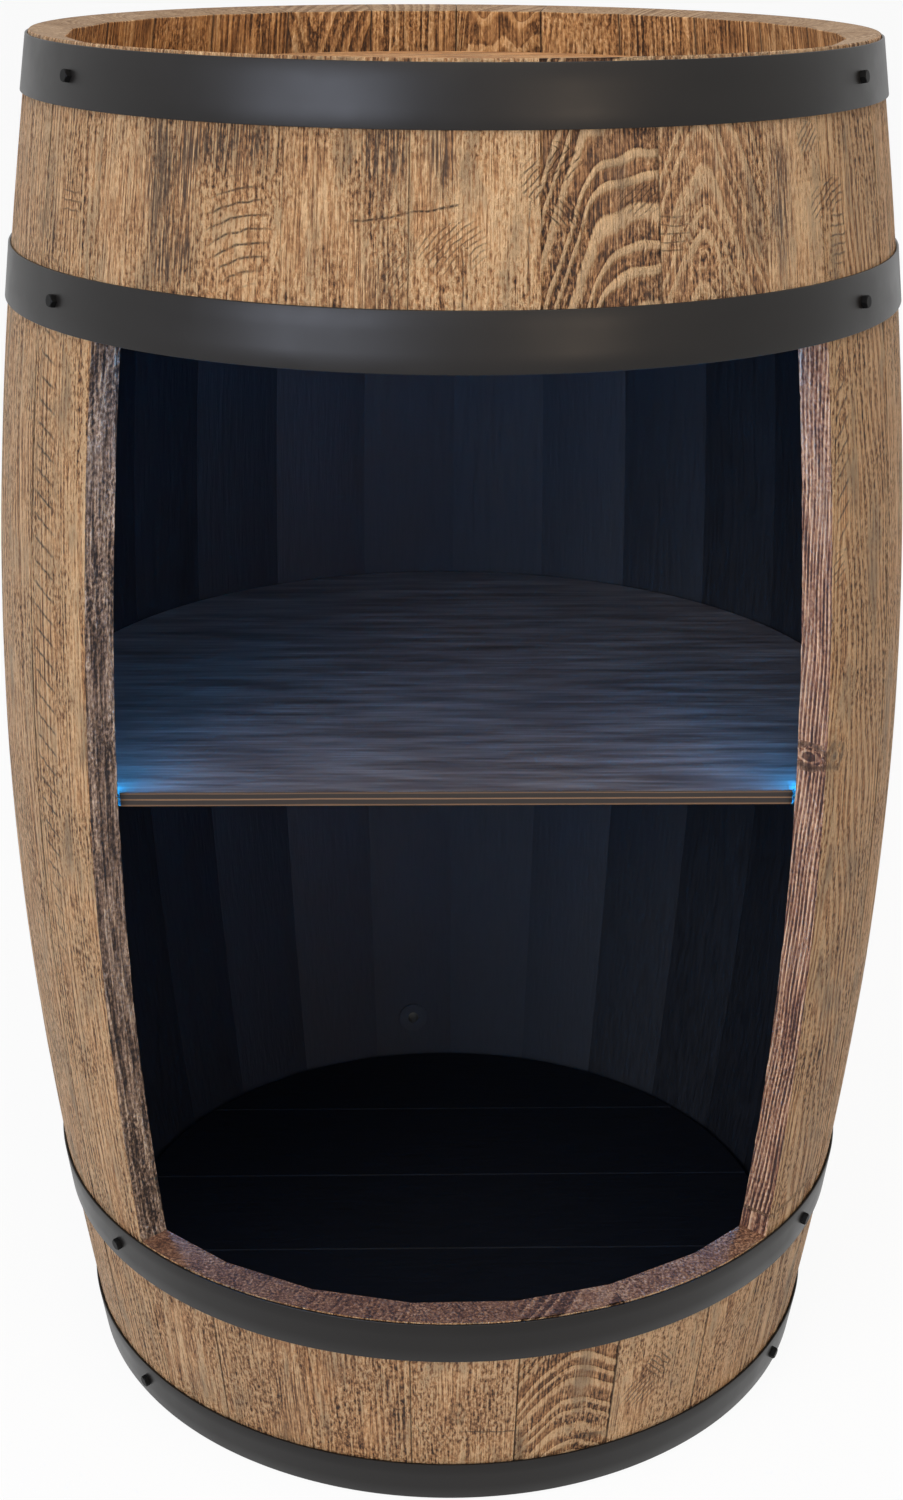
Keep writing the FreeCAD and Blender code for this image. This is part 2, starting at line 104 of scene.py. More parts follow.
woodShape = {
    "noiseRoughness": 0.6, "stainCap": 0.85, "strokeDepth": 0.8,
    "tornStain": {1: 0.4, 2: 0.58, 3: 1.7, 4: 0.15}, "brokenStroke": {1: 0.4, 2: 0.54, 3: 0.3, 4: 1.0},
    "patchEdge": (0.4, 0.6), "sheenEdge": (0.3, 0.8),
}


def woodSurface(tree, shader, look, place, ring, edge, tone, contrast, greyed, knot, saw=None):
    # each kind of unevenness is a noise stretched along the board: millimetres across and along it
    layers = {}
    for layer, (across, along, detail) in look["layers"].items():
        scale = (1 / across, 1 / across, 1 / along)
        scaled = addNode(tree, "VectorMath", {"operation": "MULTIPLY", 1: scale}, {0: place})
        settings = {"Scale": 1.0, "Detail": detail, "Roughness": woodShape["noiseRoughness"]}
        layers[layer] = addNode(tree, "TexNoise", settings, {"Vector": scaled})

    # year rings: a thin darkest line, painted shadow of the ridge that follows, then a pale raised line, then
    # soft early wood that drank the stain
    shake = addNode(tree, "Math", {"operation": "MULTIPLY", 1: look["ringShake"]}, {0: layers["fibre"]})
    shaken = addNode(tree, "Math", {"operation": "ADD"}, {0: ring, 1: shake})
    phase = addNode(tree, "Math", {"operation": "FRACT"}, {0: shaken})
    ringStops = [(p, grey(v)) for p, v in look["ringStops"]]
    ringTone = addNode(tree, "ValToRGB", {"stops": ringStops}, {0: phase})
    ringed = addNode(tree, "Math", {"operation": "SUBTRACT", 1: 0.5}, {0: ringTone})
    ringShare = addNode(tree, "Math", {"operation": "MULTIPLY"}, {0: ringed, 1: contrast})

    # torn, pebbled relief comes in patches, plain fibres lie between them. Besides the bump, the pebbles
    # paint pale highlights on their peaks and painted shade in their cracks into the colour
    pebbled = addNode(tree, "Math", {"operation": "SUBTRACT", 1: 0.5}, {0: layers["pebble"]})
    (low, high), (least, most) = woodShape["patchEdge"], look["pebbleShare"]
    patchy = addNode(tree, "MapRange", {1: low, 2: high, 3: least, 4: most}, {0: layers["patch"]})
    pebbles = addNode(tree, "Math", {"operation": "MULTIPLY"}, {0: pebbled, 1: patchy})

    # thin dark grain lines, where a slow noise passes its middle
    offLine = addNode(tree, "Math", {"operation": "SUBTRACT", 1: 0.5}, {0: layers["line"]})
    fromLine = addNode(tree, "Math", {"operation": "ABSOLUTE"}, {0: offLine})
    settings = {1: 0.0, 2: look["lineWidth"], 3: -look["lineShare"], 4: 0.0}
    line = addNode(tree, "MapRange", settings, {0: fromLine})

    # one number says how light each spot is, with the pebbles' painted highlights and shade and the rings'
    # painted shadow lines
    lift = look["lift"] - look["fibreShare"] / 2
    settings = {"operation": "MULTIPLY_ADD", 1: look["fibreShare"], 2: lift}
    relief = addNode(tree, "Math", settings, {0: layers["fibre"]})
    for part in (pebbles, ringShare, line):
        relief = addNode(tree, "Math", {"operation": "ADD"}, {0: relief, 1: part})
    settings = {"operation": "MULTIPLY_ADD", 1: look["blotchShare"]}
    blotched = addNode(tree, "Math", settings, {0: layers["blotch"], 2: relief})
    lightness = addNode(tree, "Math", {"operation": "ADD"}, {0: blotched, 1: tone})
    colorStops = [(p, hexToLinear(c)) for p, c in look["colors"]]
    color = addNode(tree, "ValToRGB", {"stops": colorStops}, {0: lightness})

    # patches where the stain lies greyer
    settings = {1: look["stainFrom"], 2: look["stainTo"], 3: 0.0, 4: look["stainShare"]}
    cloud = addNode(tree, "MapRange", settings, {0: layers["blotch"]})
    torn = addNode(tree, "MapRange", woodShape["tornStain"], {0: layers["fibre"]})
    here = addNode(tree, "Math", {"operation": "MULTIPLY_ADD"}, {0: greyed, 1: torn, 2: cloud})
    capped = addNode(tree, "Math", {"operation": "MINIMUM", 1: woodShape["stainCap"]}, {0: here})
    stain = {"Color2": hexToLinear(look["stain"])}
    withStain = addNode(tree, "MixRGB", stain, {"Fac": capped, "Color1": color})

    # dirt and shade close to the joints, the dark heart of a knot, and the saw's thin strokes
    settings = {1: 0.0, 2: look["seamWidth"], 3: look["seamShare"], 4: 0.0}
    seam = addNode(tree, "MapRange", settings, {0: edge})
    darkest = addNode(tree, "Math", {"operation": "MAXIMUM"}, {0: seam, 1: knot})
    if saw:
        trace = addNode(tree, "SeparateXYZ", None, {0: saw})
        offStroke = addNode(tree, "Math", {"operation": "PINGPONG", 1: 0.5}, {0: trace.outputs[0]})
        inStroke = addNode(tree, "MapRange", {1: 0.0, 3: 1.0, 4: 0.0}, {0: offStroke, 2: trace.outputs[2]})
        broken = addNode(tree, "MapRange", woodShape["brokenStroke"], {0: layers["pebble"]})
        stroke = addNode(tree, "Math", {"operation": "MULTIPLY"}, {0: inStroke, 1: trace.outputs[1]})
        sawn = addNode(tree, "Math", {"operation": "MULTIPLY"}, {0: stroke, 1: broken})
        darkest = addNode(tree, "Math", {"operation": "MAXIMUM"}, {0: darkest, 1: sawn})
        settings = {"operation": "MULTIPLY_ADD", 1: -woodShape["strokeDepth"]}
        relief = addNode(tree, "Math", settings, {0: sawn, 2: relief})
    deep = {"Color2": hexToLinear(look["deep"])}
    finished = addNode(tree, "MixRGB", deep, {"Fac": darkest, "Color1": withStain})
    (low, high), (glossiest, dullest) = woodShape["sheenEdge"], look["rough"]
    settings = {1: low, 2: high, 3: dullest, 4: glossiest}
    rough = addNode(tree, "MapRange", settings, {0: lightness})
    # relief: the brush wears the soft wood away between the fibres and the rings
    bump = addNode(tree, "Bump", {"Strength": 1.0, "Distance": look["relief"] * mm}, {"Height": relief})
    connect(tree, shader, {"Base Color": finished, "Roughness": rough, "Normal": bump})


def stavedWood(name, look):
    material, tree, shader = newMaterial(name, {"IOR": 1.5, "Specular IOR Level": look["gloss"]})
    carried = {
        key: addNode(tree, "Attribute", {"attribute_name": key})
        for key in ("grainPlace", "ringCount", "edgeDistance", "knotShade", "boardTraits", "sawTrace")
    }
    trait = addNode(tree, "SeparateXYZ", None, {0: carried["boardTraits"].outputs["Vector"]})
    contrast = addNode(tree, "Math", {"operation": "MULTIPLY", 1: look["ringShare"]}, {0: trait.outputs[1]})
    woodSurface(
        tree, shader, look, carried["grainPlace"].outputs["Vector"], carried["ringCount"].outputs["Fac"],
        carried["edgeDistance"].outputs["Fac"], trait.outputs[0], contrast, trait.outputs[2],
        carried["knotShade"].outputs["Fac"], carried["sawTrace"].outputs["Vector"],
    )
    return material


# Brushed spruce with a warm brown oil stain: soft sheen, upright fibres with pale worn tips, pebbled relief
# in patches with painted highlights on its peaks and painted shade in its cracks, grey-brown clouds. Real
# fibres are about 0.3 mm wide, drawn wider so that they show.
outsideLook = {
    "layers": {"fibre": (1.1, 22.0, 4.0), "pebble": (1.7, 3.6, 3.0), "blotch": (20.0, 60.0, 3.0),
               "line": (4.0, 150.0, 2.0), "patch": (34.0, 55.0, 1.0)},
    "ringShake": 0.1,
    # the darkest stops at the end and start of each ring paint the shadow of the pale ridge that follows
    "ringStops": [(0.0, 0.05), (0.04, 0.9), (0.12, 1.0), (0.42, 0.82), (0.54, 0.3), (0.68, 0.08),
                  (0.9, 0.14), (0.97, 0.0), (1.0, 0.0)],
    "fibreShare": 2.45, "pebbleShare": (1.3, 3.8), "blotchShare": 1.1, "lift": 0.22, "ringShare": 0.7,
    "lineWidth": 0.01, "lineShare": 0.25,
    "colors": [(0.0, "#38251a"), (0.25, "#7d5436"), (0.5, "#bc8758"), (0.75, "#e1a973"), (1.0, "#fdd19c")],
    "stain": "#5c4a3c", "stainFrom": 0.52, "stainTo": 0.7, "stainShare": 0.5,
    "seamWidth": 0.9, "seamShare": 0.8, "deep": "#261a12", "rough": (0.5, 0.72), "relief": 3.2, "gloss": 0.35,
}
# The same wood above the top head, not worn as much: redder, with upright light and dark stripes
insideRimLook = {
    **outsideLook,
    "fibreShare": 1.5, "pebbleShare": (0.8, 2.0), "blotchShare": 1.4, "lift": -0.17, "ringShare": 0.6,
    "layers": {**outsideLook["layers"], "fibre": (1.6, 40.0, 3.0)},
    "colors": [(0.0, "#3a2412"), (0.25, "#77502c"), (0.5, "#ab7b4b"), (0.75, "#d09f66"), (1.0, "#ecc08a")],
    "seamWidth": 1.7, "seamShare": 0.95, "stainShare": 0.3, "stain": "#4f3823", "relief": 1.2,
}
# Band-sawn edge, left of the opening: the stain has gone grey-brown in the torn fibres, with pale streaks
leftJambLook = {
    **outsideLook,
    "fibreShare": 2.0, "pebbleShare": (1.4, 2.6), "blotchShare": 1.4, "lift": -0.28, "ringShare": 0.38,
    "layers": {**outsideLook["layers"], "fibre": (1.4, 24.0, 4.0), "pebble": (1.7, 2.8, 3.0),
               "blotch": (9.0, 40.0, 3.0)},
    "colors": [(0.0, "#241a14"), (0.25, "#574232"), (0.5, "#886c56"), (0.75, "#b5977b"), (1.0, "#dec0a0")],
    "stain": "#4c3f38", "stainShare": 0.4, "seamWidth": 0.2, "seamShare": 0.3, "relief": 1.4,
}
# Band-sawn edge, right of the opening: redder, the rings stand out as long furrows
rightJambLook = {
    **leftJambLook,
    "fibreShare": 2.0, "pebbleShare": (0.9, 1.8), "blotchShare": 1.2, "lift": -0.2, "ringShare": 0.75,
    "layers": {**leftJambLook["layers"], "fibre": (1.4, 30.0, 4.0), "blotch": (14.0, 60.0, 3.0)},
    "colors": [(0.0, "#38201a"), (0.25, "#794c38"), (0.5, "#a6785a"), (0.75, "#ca9a76"), (1.0, "#eabf98")],
    "stain": "#6b5044", "stainShare": 0.35,
}
# Cross-cut end grain, dark where it soaked up stain: reddish brown, fine strokes of the saw
cutEndLook = {
    **outsideLook,
    "fibreShare": 1.0, "pebbleShare": (1.2, 2.2), "blotchShare": 0.9, "lift": 0.06, "ringShare": 0.45,
    "layers": {**outsideLook["layers"], "fibre": (1.2, 9.0, 3.0), "pebble": (1.8, 3.2, 2.0),
               "blotch": (12.0, 30.0, 3.0)},
    "colors": [(0.0, "#24140d"), (0.25, "#4e3021"), (0.5, "#714c36"), (0.75, "#966c4e"), (1.0, "#bc9270")],
    "stain": "#40302a", "stainShare": 0.3, "seamWidth": 0.4, "seamShare": 0.5, "relief": 0.5,
}
# Sanded end grain of the rim: tan with faint rings
rimEndLook = {
    **cutEndLook, "fibreShare": 0.7, "pebbleShare": (0.5, 1.0), "blotchShare": 0.7, "lift": 0.12,
    "colors": [(0.0, "#5d452f"), (0.25, "#7d6044"), (0.5, "#9d7f5e"), (0.75, "#b59570"), (1.0, "#cbac86")],
    "stain": "#7c6147", "relief": 0.25, "seamWidth": 0.7, "seamShare": 0.6,
}


def smoothFinish(name, look):
    # paint, coats, turnings and mouldings: two close tones, a sheen that varies a little, and fine relief
    material, tree, shader = newMaterial(name, {
        "Base Color": hexToLinear(look["color"]), "Roughness": look["rough"],
        "Metallic": look.get("metallic", 0.0), "IOR": look.get("ior", 1.5),
        "Specular IOR Level": look.get("gloss", 0.5),
    })
    place = addNode(tree, "TexCoord").outputs["Object"]
    layers = {}
    for layer, (sizes, detail, roughness) in look["layers"].items():
        scale = [1 / (size * mm) for size in sizes]
        scaled = addNode(tree, "VectorMath", {"operation": "MULTIPLY", 1: scale}, {0: place})
        settings = {"Scale": 1.0, "Detail": detail, "Roughness": roughness}
        layers[layer] = addNode(tree, "TexNoise", settings, {"Vector": scaled})
    tint = layers["tint"]
    low, high, less, more = look["sheen"]
    settings = {1: low, 2: high, 3: look["rough"] - less, 4: look["rough"] + more}
    rough = addNode(tree, "MapRange", settings, {0: tint})
    tones = {"Color1": hexToLinear(look["color"]), "Color2": hexToLinear(look["second"])}
    mixed = addNode(tree, "MixRGB", tones, {"Fac": tint})
    relief = {"Strength": 1.0, "Distance": look["relief"] * mm}
    bump = addNode(tree, "Bump", relief, {"Height": layers.get("fine", tint)})
    connect(tree, shader, {"Base Color": mixed, "Roughness": rough, "Normal": bump})
    if "glow" in look:
        shader.inputs["Emission Color"].default_value = hexToLinear(look["glow"])
        shader.inputs["Emission Strength"].default_value = look["strength"]
    return material


# Satin black paint on softwood: nearly black, the upright grain just shows through as relief.
# "layers" are noises: sizes in millimetres, detail, roughness. "sheen" is the stretch of the tint that
# changes the roughness, and how far down and up it goes.
paintLook = {
    "color": "#09090a", "second": "#131214", "rough": 0.55, "gloss": 0.4, "sheen": (0.3, 0.7, 0.06, 0.1),
    "layers": {"tint": ((2.5, 2.5, 30.0), 4.0, 0.5)}, "relief": 0.25,
}

staveMaterials = [
    stavedWood("brushedStainedSpruce", outsideLook),
    stavedWood("stainedSpruceInsideRim", insideRimLook),
    smoothFinish("satinBlackPaintOnSpruce", paintLook),
    stavedWood("crossCutSpruceStained", cutEndLook),
    stavedWood("sandedSpruceEndGrain", rimEndLook),
    stavedWood("bandSawnSpruceGrey", leftJambLook),
    stavedWood("bandSawnSpruceRed", rightJambLook),
]
outsideSlot, insideRimSlot, blackSlot, cutEndSlot, rimEndSlot, leftJambSlot, rightJambSlot = range(7)
print("wood materials made")


# The barrel's shape, as in the construction model. Millimetres and degrees, 0 in the middle of the opening.

headLow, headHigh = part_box("top_board_3")
barrel = {
    "height": 800.0, "bellyRadius": 265.0, "endRadius": 228.0, "bellyFullness": 1.15, "thickness": 18.5,
    "apronTop": 136.3, "headerBottom": 661.7, "headTop": 773.0, "paintFrom": 36.0, "paintTo": 764.0,
    "grooves": ((33.0, 39.0), (761.0, 767.0)), "grooveDepth": 4.0, "rimSlope": 0.15725, "rimDepth": 14.0,
    "axisY": (headLow.y + headHigh.y) / 2,
    "frontWidths": (12.6, 14.1, 14.5, 14.5, 14.0, 15.0, 10.3),
    "fullWidths": (16.2, 16.3, 11.5, 14.1, 14.1, 15.0, 14.9, 14.1, 14.7,
                   14.7, 15.0, 14.8, 13.4, 13.4, 15.8, 17.0, 17.0, 13.0),
}


def outerRadius(z):
    share = (z - barrel["height"] / 2) / (barrel["height"] / 2)
    bulge = barrel["bellyFullness"] * share ** 2 - (barrel["bellyFullness"] - 1) * share ** 4
    return barrel["bellyRadius"] - (barrel["bellyRadius"] - barrel["endRadius"]) * bulge


def spansFrom(widths, first):
    ends = np.concatenate([[first], first + np.cumsum(widths)])
    return list(zip(ends[:-1], ends[1:]))


openingHalf = sum(barrel["frontWidths"]) / 2
frontSpans = spansFrom(barrel["frontWidths"], -openingHalf)
fullSpans = spansFrom(barrel["fullWidths"], openingHalf)


def onBarrel(angle, radius, z):
    turn = np.radians(angle)
    x, y = radius * np.sin(turn) * mm, -radius * np.cos(turn) * mm + barrel["axisY"]
    return np.stack([x, y, z * mm], axis=-1)


def waves(x, y, length, seed):
    # smooth uneven surface between about -1 and 1, with bumps of about the given length
    rng = np.random.default_rng(seed)
    total = 0.0
    for k in range(6):
        way = rng.uniform(0, 2 * math.pi)
        pace = rng.uniform(0.6, 1.7) * 2 * math.pi / length
        total = total + np.sin((x * math.cos(way) + y * math.sin(way)) * pace + rng.uniform(0, 6.3))
    return total / 3.2


def stations(low, high, step, margin, extra=()):
    # evenly spaced places with one more close to each end, and pairs at the edges of any grooves
    inner = np.linspace(low + margin, high - margin, max(2, int(round((high - low) / step))) + 1)
    places = np.concatenate([[low], inner, [high]])
    for edgeLow, edgeHigh in extra:
        if low < edgeLow and edgeHigh < high:
            places = places[(places < edgeLow - 0.6) | (places > edgeHigh + 0.6)]
            places = np.concatenate([places, [edgeLow - 0.02, edgeLow, edgeHigh, edgeHigh + 0.02]])
    return np.sort(places)


def archRings(look, across, depth, along):
    # rings cut as arches: the lowest of a few sloping counts, melted together where they meet
    x = across + look["depthPull"] * depth
    tall, long, shift = look["ripple"]
    z = along - tall * np.cos((x - shift) * 2 * math.pi / long)
    z = z + waves(x * 1.5, along, look["swayLength"], look["seed"]) * look["archSway"]
    total = 0.0
    for base, slope, pitch in look["arches"]:
        total = total + np.exp(np.clip(-(base + slope * x - z) / pitch / look["soft"], -300, 300))
    count = -look["soft"] * np.log(total)
    count = count + look["uneven"] * np.sin(count * 2.3 + look["seed"])
    # below 1 the dark part of each ring grows and the pale ridge shrinks
    return np.floor(count) + (count - np.floor(count)) ** look["ridge"]


# How knots lie in the rings, as shares of a knot's size: how far out of round, how far it bends the rings,
# where its edge and its dark heart end and how softly, the width of its dark rim. "drift" makes some years
# wide and some narrow.
ringShape = {
    "unround": 0.22, "unroundLength": 9.0, "bendReach": 5.0, "edge": (1.15, 0.3), "heart": (0.6, 0.5),
    "rim": 0.14, "rimShade": 0.8, "drift": ((0.25, 1.9, 1), (0.45, 0.7, 2)),
}


def ringField(look, across, depth, along):
    # year rings counted from a pith line that leans through the board; they flow round each knot
    shape, seed = ringShape, look["seed"]
    x, d = across.copy(), depth.copy()
    shade, inKnot, knotRings = (np.zeros_like(x) for _ in range(3))
    for knot in look.get("knots", ()):
        axis = np.array(knot["toward"], float)
        axis /= np.linalg.norm(axis)
        atX, atDepth, atZ = knot["at"]
        rel = np.stack([across - atX, depth - atDepth, (along - atZ) / knot["tall"]], -1)
        aside = rel - (rel @ axis)[..., None] * axis
        unround = 1 + shape["unround"] * waves(across, along, shape["unroundLength"], seed + 5)
        reach = np.maximum(np.linalg.norm(aside, axis=-1), 0.01) * unround
        size = knot["size"]
        pull = np.minimum(1.0, (size / reach) ** 2) * np.exp(-((reach / (size * shape["bendReach"])) ** 2))
        x = x - aside[..., 0] * pull
        d = d - aside[..., 1] * pull
        share, heart = (np.clip((size * far - reach) / (size * soft), 0, 1)
                        for far, soft in (shape["edge"], shape["heart"]))
        knotRings = np.where(share > 0, reach / knot["pitch"], knotRings)
        inKnot = np.maximum(inKnot, share)
        rim = np.exp(-(((reach - size) / (size * shape["rim"])) ** 2)) * shape["rimShade"]
        shade = np.maximum(shade, knot["shade"] * np.maximum(heart, rim))
    rise = along - look["pithHeight"]
    awayX = x - look["pith"][0] - look["lean"][0] * rise
    awayD = d - look["pith"][1] - look["lean"][1] * rise
    sway = waves(x * 1.5, along, look["swayLength"], seed) * look["sway"]
    even = (np.hypot(awayX, awayD) + sway) / look["pitch"]
    rings = even + sum(share * np.sin(pace * even + seed * turn) for share, pace, turn in shape["drift"])
    if "arches" in look:
        rings = np.where(along > look["archFrom"], archRings(look, x, d, along), rings)
    return rings * (1 - inKnot) + knotRings * inKnot, shade


# Saw strokes: where along its reach a group fades out, the unsteady hand in millimetres, and a stroke's half
# width as a share of the given width
strokeShape = {"fade": 0.35, "shake": 0.4, "shakeLength": 11.0, "halfWidth": 0.9}


def sawTraces(look, across, along):
    # for each point: strokes counted from a far centre, how strong they are, and their half width as a
    # share of the pitch
    shape = strokeShape
    count, share, half = np.zeros_like(across), np.zeros_like(across), np.full_like(across, 0.1)
    for at, size, centre, pitch, width, strength in look.get("saw", ()):
        reach = np.hypot((across - at[0]) / size[0], (along - at[1]) / size[1])
        here = np.clip((1 - reach) / shape["fade"], 0, 1) * strength
        away = np.hypot(across - at[0] - centre[0], along - at[1] - centre[1]) - math.hypot(*centre)
        away = away + shape["shake"] * waves(across, along, shape["shakeLength"], look["seed"] + 9)
        stronger = here > share
        count = np.where(stronger, away / pitch, count)
        half = np.where(stronger, width * shape["halfWidth"] / pitch, half)
        share = np.where(stronger, here, share)
    return np.stack([count, share, half], -1)


def boardTraits(look, across, along, rings):
    # lightness, ring contrast and grey stain at each point; some years stand out more than others
    traits = np.tile([look["tone"], look["contrast"], look["grey"]], (len(across), 1)).astype(float)
    if "arches" not in look:
        traits[:, 1] *= 0.75 + 0.35 * np.sin(1.3 * rings + look["seed"])
    for at, size, adds in look.get("patches", ()):
        near = np.exp(-(((across - at[0]) / size[0]) ** 2 + ((along - at[1]) / size[1]) ** 2))
        traits += near[:, None] * np.array(adds)
    return traits


def makePiece(name, points, faces, slots, materials, attributes, sharp=32.0):
    mesh = bpy.data.meshes.new(name)
    mesh.from_pydata(points.tolist(), [], faces)
    for material in materials:
        mesh.materials.append(material)
    mesh.polygons.foreach_set("material_index", np.array(slots, np.int32))
    for key, values in attributes.items():
        kind = "FLOAT_VECTOR" if values.ndim == 2 else "FLOAT"
        layer = mesh.attributes.new(key, kind, "POINT")
        layer.data.foreach_set("vector" if values.ndim == 2 else "value", values.astype(np.float32).ravel())
    work = bmesh.new()
    work.from_mesh(mesh)
    bmesh.ops.recalc_face_normals(work, faces=work.faces)
    work.to_mesh(mesh)
    work.free()
    mesh.polygons.foreach_set("use_smooth", np.ones(len(mesh.polygons), bool))
    mesh.set_sharp_from_angle(angle=math.radians(sharp))
    piece = bpy.data.objects.new(name, mesh)
    bpy.context.scene.collection.objects.link(piece)
    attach(piece, "root")
    return piece


def sectionGrid(columns, rows, levels):
    # closed skin of a bent box: for each vertex its column, row and level, and the faces with their side
    nx, ny, nz = len(columns) - 1, len(rows) - 1, len(levels) - 1
    loop = [(i, ny) for i in range(nx)] + [(nx, j) for j in range(ny, 0, -1)]
    loop += [(i, 0) for i in range(nx, 0, -1)] + [(0, j) for j in range(ny)]
    sides = ["outer"] * nx + ["right"] * ny + ["inner"] * nx + ["left"] * ny
    count = len(loop)
    places = [(i, j, k) for k in range(nz + 1) for i, j in loop]
    faces, kinds = [], []
    for k in range(nz):
        below, above = k * count, (k + 1) * count
        for n in range(count):
            following = (n + 1) % count
            faces.append((below + n, below + following, above + following, above + n))
            kinds.append((sides[n], loop[n], loop[following], k))
    onLoop = {spot: n for n, spot in enumerate(loop)}
    for k, kind in ((0, "low"), (nz, "high")):
        index = {spot: k * count + n for spot, n in onLoop.items()}
        for i in range(1, nx):
            for j in range(1, ny):
                index[(i, j)] = len(places)
                places.append((i, j, k))
        for i in range(nx):
            for j in range(ny):
                faces.append((index[(i, j)], index[(i + 1, j)], index[(i + 1, j + 1)], index[(i, j + 1)]))
                kinds.append((kind, (i, j), (i + 1, j + 1), k))
    return np.array(places), faces, kinds


def chooseSlot(side, middle, look):
    if side == "high":
        return rimEndSlot if middle > barrel["headTop"] else cutEndSlot
    if side == "low":
        return cutEndSlot
    if side == "outer":
        return outsideSlot
    if side == "inner":
        painted = barrel["paintFrom"] <= middle <= barrel["paintTo"]
        return blackSlot if painted else insideRimSlot
    if side == look.get("jambSide"):
        return look["jambSlot"]
    return outsideSlot


# Millimetres. "steps" are the outermost rows of the mesh, "planed" keeps the mesh just inside the solid,
# "ringProfile" is how deep the brush wore a year from its start to its end, and "grainShift" gives each
# stave its own place in the noise.
staveShape = {
    "steps": (0.55, 0.6, 0.5), "endRound": 0.4, "planed": 0.12, "cup": 0.15, "cupLength": 60.0,
    "chipLength": 9.0, "chipFrom": 0.35, "chipReach": 0.8, "furrowLength": 26.0, "tearLength": 7.0,
    "tearFrom": 0.4, "tear": 0.8, "tearReach": 1.5, "arrisDrop": 0.6, "arrisAside": 0.5, "shrinkFrom": 1.6,
    "grainShift": (37.0, 91.0),
    "ringProfile": ([0, 0.04, 0.1, 0.4, 0.6, 0.9, 1.0], [0.9, 0.0, 0.0, 0.35, 0.9, 1.0, 0.9]),
}


def innerFace(z, offMiddle, half):
    # flat across, with the heads' grooves cut round into it
    atEdge = outerRadius(z) - barrel["thickness"]
    inner = atEdge * math.cos(math.radians(half)) / np.cos(np.radians(offMiddle))
    for edgeLow, edgeHigh in barrel["grooves"]:
        inGroove = (z >= edgeLow - 0.001) & (z <= edgeHigh + 0.001)
        inner = np.where(inGroove, atEdge + barrel["grooveDepth"], inner)
    return inner


def brushedFace(look, across, z, worn, edgeNear):
    # the outer face dips between the rings, each stave is a little hollow, and its arrises are chipped
    shape, seed = staveShape, look["seed"]
    hollow = 0.5 + 0.5 * waves(across, z * 0.4, shape["cupLength"], seed + 1)
    dip = shape["planed"] + shape["cup"] * hollow + look["relief"] * worn * look["contrast"]
    chips = np.clip(waves(z * 3 + across, z, shape["chipLength"], seed + 2) - shape["chipFrom"], 0, 1)
    return dip + look["chips"] * chips * np.exp(-edgeNear / shape["chipReach"])


def sawnEdge(look, depth, z, worn):
    # the band saw's furrows, and splinters torn out close to both arrises
    shape, seed = staveShape, look["seed"]
    uneven = 0.5 + 0.5 * waves(depth * 6, z, shape["furrowLength"], seed + 3)
    torn = np.clip(waves(depth * 2, z, shape["tearLength"], seed + 4) - shape["tearFrom"], 0, 1)
    fromArris = np.minimum(-depth, barrel["thickness"] + depth)
    splinters = shape["tear"] * torn * np.exp(-fromArris / shape["tearReach"])
    return look["furrow"] * (0.6 * worn + 0.4 * uneven) + splinters


